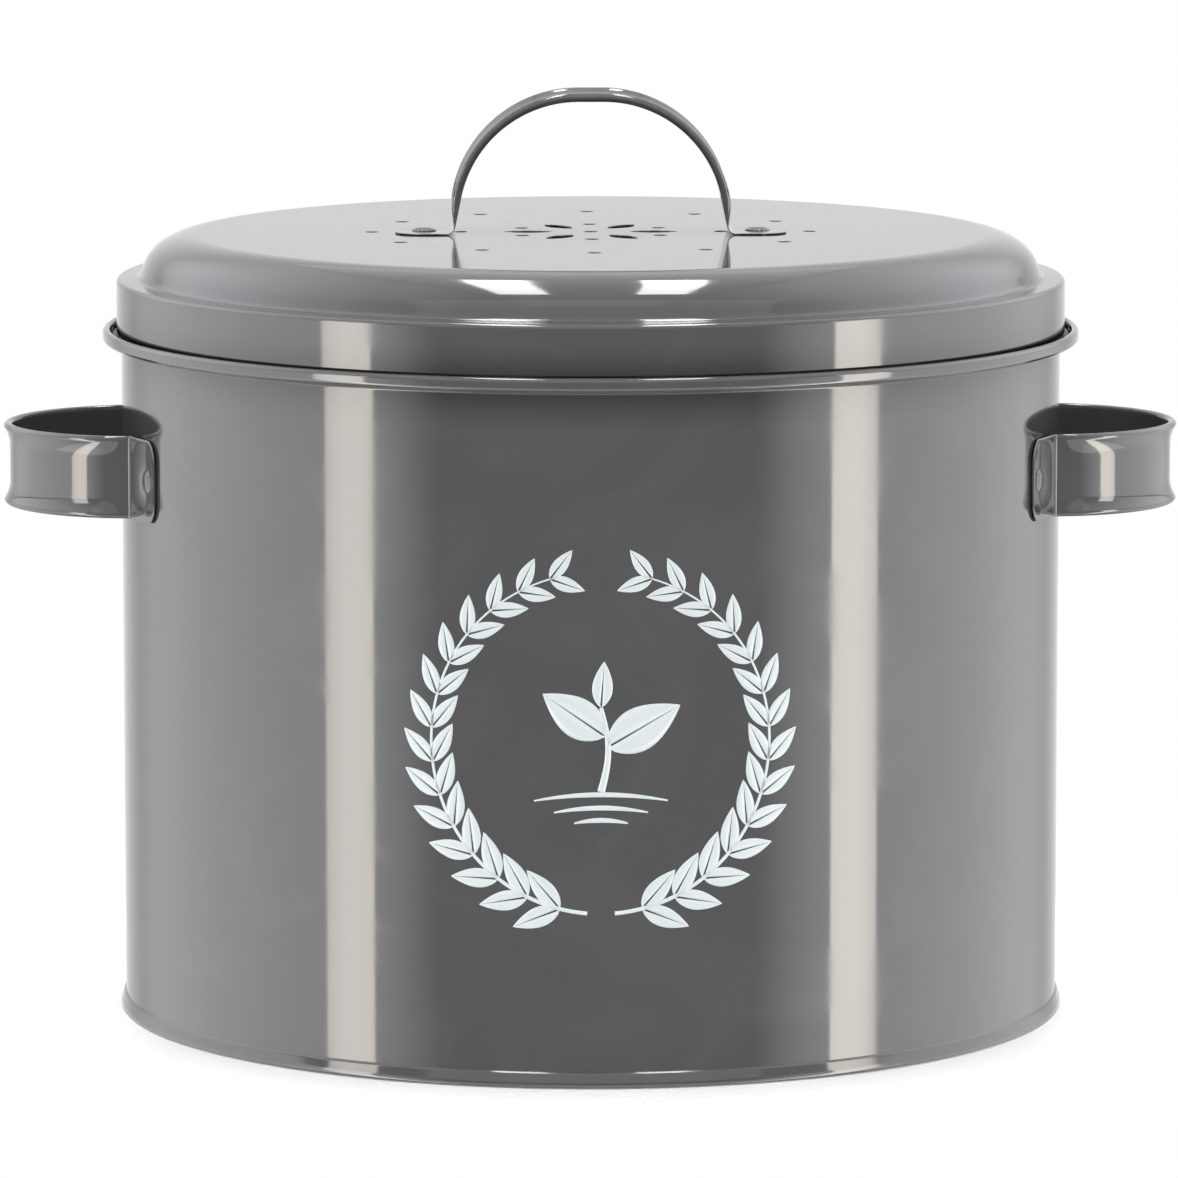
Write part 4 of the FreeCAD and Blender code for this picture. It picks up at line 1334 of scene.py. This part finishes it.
    @staticmethod
    def _between(loops: list[np.ndarray], fuzz: float = 1e-6) -> tuple[np.ndarray, np.ndarray]:
        """Triangulates the flat sheet between an outer loop and the hole loops inside it.

        Blender's constrained Delaunay triangulation runs on millimetres and fills the holes too, so
        the triangles whose corners all lie on one hole are left out.

        Args:
            loops: The outer loop, then the holes.
            fuzz: Distance in millimetres under which points count as one.

        Returns:
            Flat points and triangles.
        """
        counts = [len(loop) for loop in loops]
        owner = np.repeat(np.arange(len(loops)), counts)
        first = np.repeat(np.cumsum(counts) - counts, counts)
        place = np.arange(len(owner))
        after = first + (place - first + 1) % np.repeat(counts, counts)
        edges = np.stack([place, after], axis=1).tolist()
        points = [Vector(point) for point in np.concatenate(loops) / MM]
        flat, _, faces, *_ = delaunay_2d_cdt(points, edges, [], 1, fuzz)
        found = np.array(faces)
        same = (owner[found] == owner[found[:, :1]]).all(axis=1) & (owner[found[:, 0]] > 0)
        return np.array([tuple(point) for point in flat]) * MM, found[~same]

    def arch_corners(self) -> list[Corner]:
        """Corners of the arch's right half, where its lines meet: over its leg, and at the leg's foot.

        Returns:
            Both corners, across and up.
        """
        lean = math.radians(self.leg_lean)
        share = math.tan((QUARTER - lean) / 2)
        run = (self.foot_bend + self.handle_bend) * share + self.handle_leg
        over = self.handle_flat / 2 + self.handle_bend * share
        foot = self.top() + self.seat_gap + self.strap.sheet / 2
        return [(over, foot + run * math.cos(lean)), (over + run * math.sin(lean), foot)]

    def build_handle(self) -> bpy.types.Object:
        """Arched strap in the XZ plane: two flat feet, leaning legs and an arch of two wide bends.

        Returns:
            The strap.
        """
        over, leg = self.arch_corners()
        right = [over, leg, (leg[0] + self.foot_reach, leg[1])]
        corners = [(-across, up) for across, up in right[::-1]] + right
        bends = [self.foot_bend, self.handle_bend, self.handle_bend, self.foot_bend]
        tips = self.foot_round * (1 - np.cos(np.linspace(0, QUARTER, self.tip_steps)))
        line = BentLine.through(corners, bends, steps=28, pitch=1.5 * MM, ends=tips)
        bare = self.foot_reach + self.foot_bare * self.foot_bend
        to_space = np.array([[1, 0, 0], [0, 0, 1], [0, 1, 0]], float)
        hole = self.foot_reach - self.rivet_offset
        draft = self.strap.bent(line, bare, self.foot_round, hole, to_space, np.zeros(3))
        return draft.piece("lid_strap", self.strap.crease)

    def build_rivets(self) -> bpy.types.Object:
        """The two rivets through the handle's feet, the lid and the filter holder.

        Returns:
            Both rivets as one piece.
        """
        across = self.arch_corners()[1][0] + self.rivet_offset
        seat = self.top() + self.seat_gap + self.strap.tab_sheet
        grip = self.strap.tab_sheet + self.sheet + self.lug + 3 * self.seat_gap
        seats = [((side.value * across, 0.0, seat), (0, 0, 1)) for side in Side]
        return self.rivet.pair("lid_rivet_pair", grip, seats)

    def dress(self, dresser: Dresser) -> None:
        """Builds the lid's pieces, enamels them, and finishes the filter's fittings.

        Args:
            dresser: What gives the pieces their finish and body.
        """
        pieces = {
            "lid_shell": self.build_shell(),
            "lid_handle": self.build_handle(),
            "lid_handle_rivets": self.build_rivets(),
        }
        for node, thing in pieces.items():
            dresser.piece(thing, ENAMEL, Slot.ENAMEL, Body.LID, node)
        dresser.node("filter_holder", PLASTIC)
        dresser.node("hinge_pin", PLATED)


# ---------------------------------------------------------------- liner, bail and filter


@dataclass
class LinerAssembly:
    """Lift-out bucket, its wire bail and the bail's grip."""

    crease: float = 35.0

    def build_bucket(self) -> bpy.types.Object:
        """Bucket on the CAD node's own points, welded along its seam so that the gloss runs round it.

        Returns:
            The bucket.
        """
        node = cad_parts["liner_bucket"]
        node.data.calc_loop_triangles()
        points = np.empty(3 * len(node.data.vertices))
        faces = np.empty(3 * len(node.data.loop_triangles), int)
        node.data.vertices.foreach_get("co", points)
        node.data.loop_triangles.foreach_get("vertices", faces)
        place = np.array(node.matrix_world)
        points = points.reshape(-1, 3) @ place[:3, :3].T + place[:3, 3]
        draft = MeshDraft().triangles(points, faces.reshape(-1, 3))
        return draft.piece("lift_out_bucket", self.crease)

    def dress(self, dresser: Dresser) -> None:
        """Builds the bucket and finishes the liner's pieces.

        Args:
            dresser: What gives the pieces their finish and body.
        """
        dresser.piece(self.build_bucket(), PLASTIC, Slot.PLASTIC, Body.LINER, "liner_bucket")
        dresser.node("bail_wire", PLATED)
        dresser.node("bail_grip", PLASTIC)


@dataclass
class FilterAssembly:
    """Hinged tray and the felt disc that lies in it."""

    radius: float = 56.3 * MM
    thickness: float = 5.8 * MM
    low: float = 172.441 * MM
    edge_round: float = 1.6 * MM
    dimple: float = 0.28 * MM
    dimple_waves: tuple[float, float] = (700.0, 640.0)
    dimple_shift: float = 0.6
    dimple_fade: tuple[float, float] = (6.0 * MM, 2.0 * MM)
    rings: int = 45
    edge_steps: int = 9
    segments: int = 160

    def build_felt(self) -> bpy.types.Object:
        """Felt disc: two faces that sink a little between needled rows, and a rounded edge.

        Each face lies below its plane by a product of two sine waves, which fades out to the edge.

        Returns:
            The disc.
        """
        turn = np.linspace(-QUARTER, QUARTER, self.edge_steps)
        flat = np.linspace(0, self.radius - self.edge_round, self.rings + 1)
        rim = self.radius - self.edge_round + self.edge_round * np.cos(turn)
        high = self.low + self.thickness
        rim_height = np.where(turn < 0, self.low + self.edge_round, high - self.edge_round)
        rim_height = rim_height + self.edge_round * np.sin(turn)
        radius = np.concatenate([flat[:-1], rim, flat[-2::-1]])
        height = np.concatenate([np.full(self.rings, self.low), rim_height, np.full(self.rings, high)])
        grid = turned(np.stack([radius, height], axis=1), full_turn(self.segments))
        start, end = self.dimple_fade
        fade = 1 - smooth_step(radius, self.radius - start, self.radius - end)
        across, up = self.dimple_waves
        wave = np.sin(grid[..., 0] * across) * np.sin(grid[..., 1] * up + self.dimple_shift)
        wave = (wave + 1) / 2
        sign = np.where(np.arange(len(radius)) < len(radius) / 2, 1.0, -1.0)
        grid[..., 2] += self.dimple * wave * (fade * sign)[:, None]
        return MeshDraft().patch(grid, wrap_v=True).piece("felt_disc")

    def dress(self, dresser: Dresser) -> None:
        """Builds the felt and finishes the tray.

        Args:
            dresser: What gives the pieces their finish and body.
        """
        dresser.node("filter_tray", PLASTIC)
        felt = self.build_felt()
        dresser.piece(felt, FELT, Slot.FELT, Body.TRAY, "charcoal_filter")


# ---------------------------------------------------------------- studio


@dataclass(frozen=True)
class Softbox:
    """A flat lamp: where it hangs, what it faces, its size, brightness, colour and soft ends."""

    name: str
    place: Triple
    target: Triple
    size: tuple[float, float]
    radiance: float
    colour: Triple = WHITE
    ramps: tuple[Corner, ...] = ()
    up_ramps: tuple[Corner, ...] = ()
    lights_matt: bool = False

    def hang(self) -> bpy.types.Object:
        """Makes the lamp, its power being pi times area times radiance.

        Each ramp dims the lamp across its width or up its height, from nothing at the first share of it
        to full at the second.

        Returns:
            The lamp, unseen by the camera.
        """
        data = bpy.data.lights.new(self.name, "AREA")
        data.shape = "RECTANGLE"
        data.size, data.size_y = self.size
        data.energy = math.pi * self.size[0] * self.size[1] * self.radiance
        data.color = self.colour
        if self.ramps or self.up_ramps:
            sheet = Shading.fresh(data)
            place = sheet.add("NewGeometry").outputs["Parametric"]
            across, up = sheet.add("SeparateXYZ", {0: place}).outputs[:2]
            shares = [sheet.ramp(across, *ramp) for ramp in self.ramps]
            shares += [sheet.ramp(up, *ramp) for ramp in self.up_ramps]
            level = shares[0]
            for share in shares[1:]:
                level = sheet.math("MULTIPLY", level, share)
            glow = sheet.add("Emission", {"Strength": level})
            sheet.add("OutputLight", {0: glow.outputs[0]})
        lamp = bpy.data.objects.new(self.name, data)
        lamp.location = self.place
        facing = Vector(self.target) - Vector(self.place)
        lamp.rotation_euler = facing.to_track_quat("-Z", "Y").to_euler()
        lamp.visible_camera = False
        lamp.visible_diffuse = self.lights_matt
        bpy.context.scene.collection.objects.link(lamp)
        return lamp


@dataclass
class Studio:
    """Camera at the photograph's angle, pale floor, white surroundings and softboxes."""

    camera_distance: float = 1.9167
    camera_height: float = 0.3634
    camera_turn: float = -1.0
    camera_pitch: float = 82.11
    lens: float = 250.84
    shift: tuple[float, float] = (-0.0014, 0.0)
    sensor: float = 36.0
    far: float = 50.0
    floor_radius: float = 190 * MM
    floor_solid: float = 140 * MM
    floor_drop: float = 0.05 * MM
    floor_white: float = 0.95
    floor_rings: int = 20
    floor_segments: int = 96
    distance: float = 1.1
    strip_turns: tuple[float, float] = (-57.7, 63.9)
    strip_widths: tuple[float, float] = (0.247, 0.246)
    strip_height: float = 2.95
    strip_middle: float = -0.925
    strip_radiance: tuple[float, float] = (8.4, 9.6)
    strip_edge: tuple[float, float] = (-0.95, 0.55)
    panel_turns: tuple[float, float] = (-89.0, 92.0)
    panel_distance: float = 1.3
    panel_size: tuple[float, float] = (4.3, 2.0)
    panel_radiance: float = 2.5
    panel_rise: tuple[float, float] = (0.08, 0.31)
    panel_fall: tuple[float, float] = (0.97, 0.44)
    panel_foot: tuple[float, float] = (-0.35, 0.55)
    panel_middle: float = -0.65
    overhead_place: Triple = (0.21, 0.3175, 1.435)
    overhead_target: Triple = (0.21, 0.7321, 0.525)
    overhead_size: tuple[float, float] = (0.16, 1.42)
    overhead_radiance: float = 16.0
    roof_place: Triple = (0.85, 0.6, 0.8)
    roof_target: Triple = (0.186, 0.6, 0.053)
    roof_size: tuple[float, float] = (3.2, 1.2)
    roof_fade: tuple[float, float] = (1.345, 0.3)
    roof_ends: tuple[Corner, Corner] = ((0.95, 0.35), (-0.05, 0.38))
    roof_radiance: float = 2.6
    fill: float = 1.0
    warm: Triple = (1.0, 0.918, 0.822)
    cool: Triple = (0.95, 1.0, 1.04)

    def around(self, turn: float, away: float, height: float) -> Triple:
        """Place round the axis.

        Args:
            turn: Turn in degrees from the camera's side, to the right.
            away: Distance from the axis.
            height: Height.

        Returns:
            The place.
        """
        angle = math.radians(turn + self.camera_turn)
        return (away * math.sin(angle), -away * math.cos(angle), height)

    def softboxes(self) -> list[Softbox]:
        """Strips in front, wide panels beside, strips overhead, and a ceiling with two sloping sides.

        Returns:
            The lamps to hang.
        """
        ceiling = Softbox(
            "ceiling",
            place=(0.0, 0.3, 1.25),
            target=(0.0, 0.3, 0.0),
            size=(0.8, 3.2),
            radiance=0.45,
            colour=self.cool,
        )
        high = Softbox(
            "high_front",
            place=(0.0, -1.3, 1.0),
            target=(0.0, -0.5, 0.4),
            size=(2.6, 1.3),
            radiance=0.7,
            colour=self.cool,
        )
        low = Softbox(
            "low_front",
            place=(0.0, -0.6, -0.35),
            target=(0.0, -0.6, 1.0),
            size=(2.4, 0.9),
            radiance=1.6,
        )
        return [*self._beside(Side.LEFT), *self._beside(Side.RIGHT), ceiling, high, low]

    def _beside(self, side: Side) -> list[Softbox]:
        """Lamps that hang on one side, given for the right one and mirrored for the left.

        The warm strip is dimmed towards its outer edge, the panel at both ends and its foot, and the
        sloping roof at both ends and its upper edge. The overhead strip also lights matt surfaces.

        Args:
            side: Side of the camera.

        Returns:
            The strip, the panel, the overhead strip and the roof.
        """
        name, right = side.name.lower(), side is Side.RIGHT
        index = int(right)

        def mirrored(place: Triple) -> Triple:
            """A place on the right, or its mirror image for the left side."""
            return (side.value * place[0], *place[1:])

        def facing(ramps: Iterable[Corner], turn: bool) -> tuple[Corner, ...]:
            """Ramps across a lamp, turned end for end if need be."""
            return tuple((1 - dark, 1 - full) if turn else (dark, full) for dark, full in ramps)

        strip = Softbox(
            f"{name}_strip",
            self.around(self.strip_turns[index], self.distance, self.strip_middle),
            (0.0, 0.0, self.strip_middle),
            (self.strip_widths[index], self.strip_height),
            self.strip_radiance[index],
            self.warm,
            facing((self.strip_edge,), right),
        )
        panel = Softbox(
            f"{name}_panel",
            self.around(self.panel_turns[index], self.panel_distance, self.panel_middle),
            (0.0, 0.0, self.panel_middle),
            self.panel_size,
            self.panel_radiance,
            ramps=facing((self.panel_rise, self.panel_fall), not right),
            up_ramps=(self.panel_foot,),
        )
        overhead = Softbox(
            f"{name}_overhead",
            mirrored(self.overhead_place),
            mirrored(self.overhead_target),
            self.overhead_size,
            self.overhead_radiance,
            lights_matt=True,
        )
        roof = Softbox(
            f"{name}_roof",
            mirrored(self.roof_place),
            mirrored(self.roof_target),
            self.roof_size,
            self.roof_radiance,
            self.cool,
            facing(self.roof_ends, not right),
            (self.roof_fade,),
        )
        return [strip, panel, overhead, roof]

    def build_floor(self) -> bpy.types.Object:
        """Round pale floor that fades out at its rim: rings of points from the middle.

        Returns:
            The floor, unseen in reflections.
        """
        radius = np.linspace(0, self.floor_radius, self.floor_rings)
        profile = np.stack([radius, np.full(len(radius), -self.floor_drop)], axis=1)
        grid = turned(profile, full_turn(self.floor_segments))
        floor = MeshDraft().patch(grid, wrap_v=True).piece("floor")
        made = bpy.data.materials.new("pale_floor")
        sheet = Shading.fresh(made)
        place = sheet.add("TexCoord").outputs["Object"]
        away = sheet.add("VectorMath", {0: place}, operation="LENGTH").outputs["Value"]
        fade = sheet.ramp(away, self.floor_solid, self.floor_radius)
        level = self.floor_white
        matt = sheet.add("BsdfDiffuse", {"Color": (level, level, level, 1.0)})
        clear = sheet.add("BsdfTransparent")
        mixed = sheet.add("MixShader", {0: fade, 1: matt.outputs[0], 2: clear.outputs[0]})
        sheet.add("OutputMaterial", {"Surface": mixed.outputs[0]})
        floor.data.materials.append(made)
        floor.visible_glossy = False
        return floor

    def build_world(self) -> None:
        """White to the camera, in reflections and through glass, and a plain fill for the rest."""
        world = bpy.data.worlds.new("studio_white")
        sheet = Shading.fresh(world)
        path = sheet.add("LightPath").outputs
        seen = sheet.math("MAXIMUM", path["Is Camera Ray"], path["Is Glossy Ray"])
        seen = sheet.math("MAXIMUM", seen, path["Is Transmission Ray"])
        fill = sheet.add("Background", {"Color": (*WHITE, 1.0), "Strength": self.fill})
        white = sheet.add("Background", {"Color": (*WHITE, 1.0), "Strength": 1.0})
        mixed = sheet.add("MixShader", {0: seen, 1: fill.outputs[0], 2: white.outputs[0]})
        sheet.add("OutputWorld", {"Surface": mixed.outputs[0]})
        bpy.context.scene.world = world

    def build_camera(self) -> None:
        """Camera of the photograph, at its turn, pitch and lens."""
        data = bpy.data.cameras.new("photo_camera")
        data.sensor_width = self.sensor
        data.lens = self.lens
        data.shift_x, data.shift_y = self.shift
        data.clip_end = self.far
        camera = bpy.data.objects.new("photo_camera", data)
        camera.location = self.around(0.0, self.camera_distance, self.camera_height)
        turn = Matrix.Rotation(math.radians(self.camera_turn), 3, "Z")
        turn = turn @ Matrix.Rotation(math.radians(self.camera_pitch), 3, "X")
        camera.rotation_euler = turn.to_euler()
        bpy.context.scene.collection.objects.link(camera)
        bpy.context.scene.camera = camera

    def build(self) -> None:
        """Sets up the whole studio."""
        self.build_camera()
        self.build_world()
        self.build_floor()
        lamps = [box.hang() for box in self.softboxes()]
        bpy.context.scene.view_settings.view_transform = "Standard"
        LOG.info("studio: camera, floor and %d softboxes", len(lamps))


def main() -> None:
    """Builds the studio and every sub-assembly in order."""
    logging.basicConfig(level=logging.INFO, format="%(name)s: %(message)s")
    Studio().build()
    dresser = Dresser()
    for assembly in (PailAssembly(), SproutPrint(), LidAssembly(), LinerAssembly(), FilterAssembly()):
        assembly.dress(dresser)
        LOG.info("%s done", type(assembly).__name__)


if __name__ == "__main__":
    main()
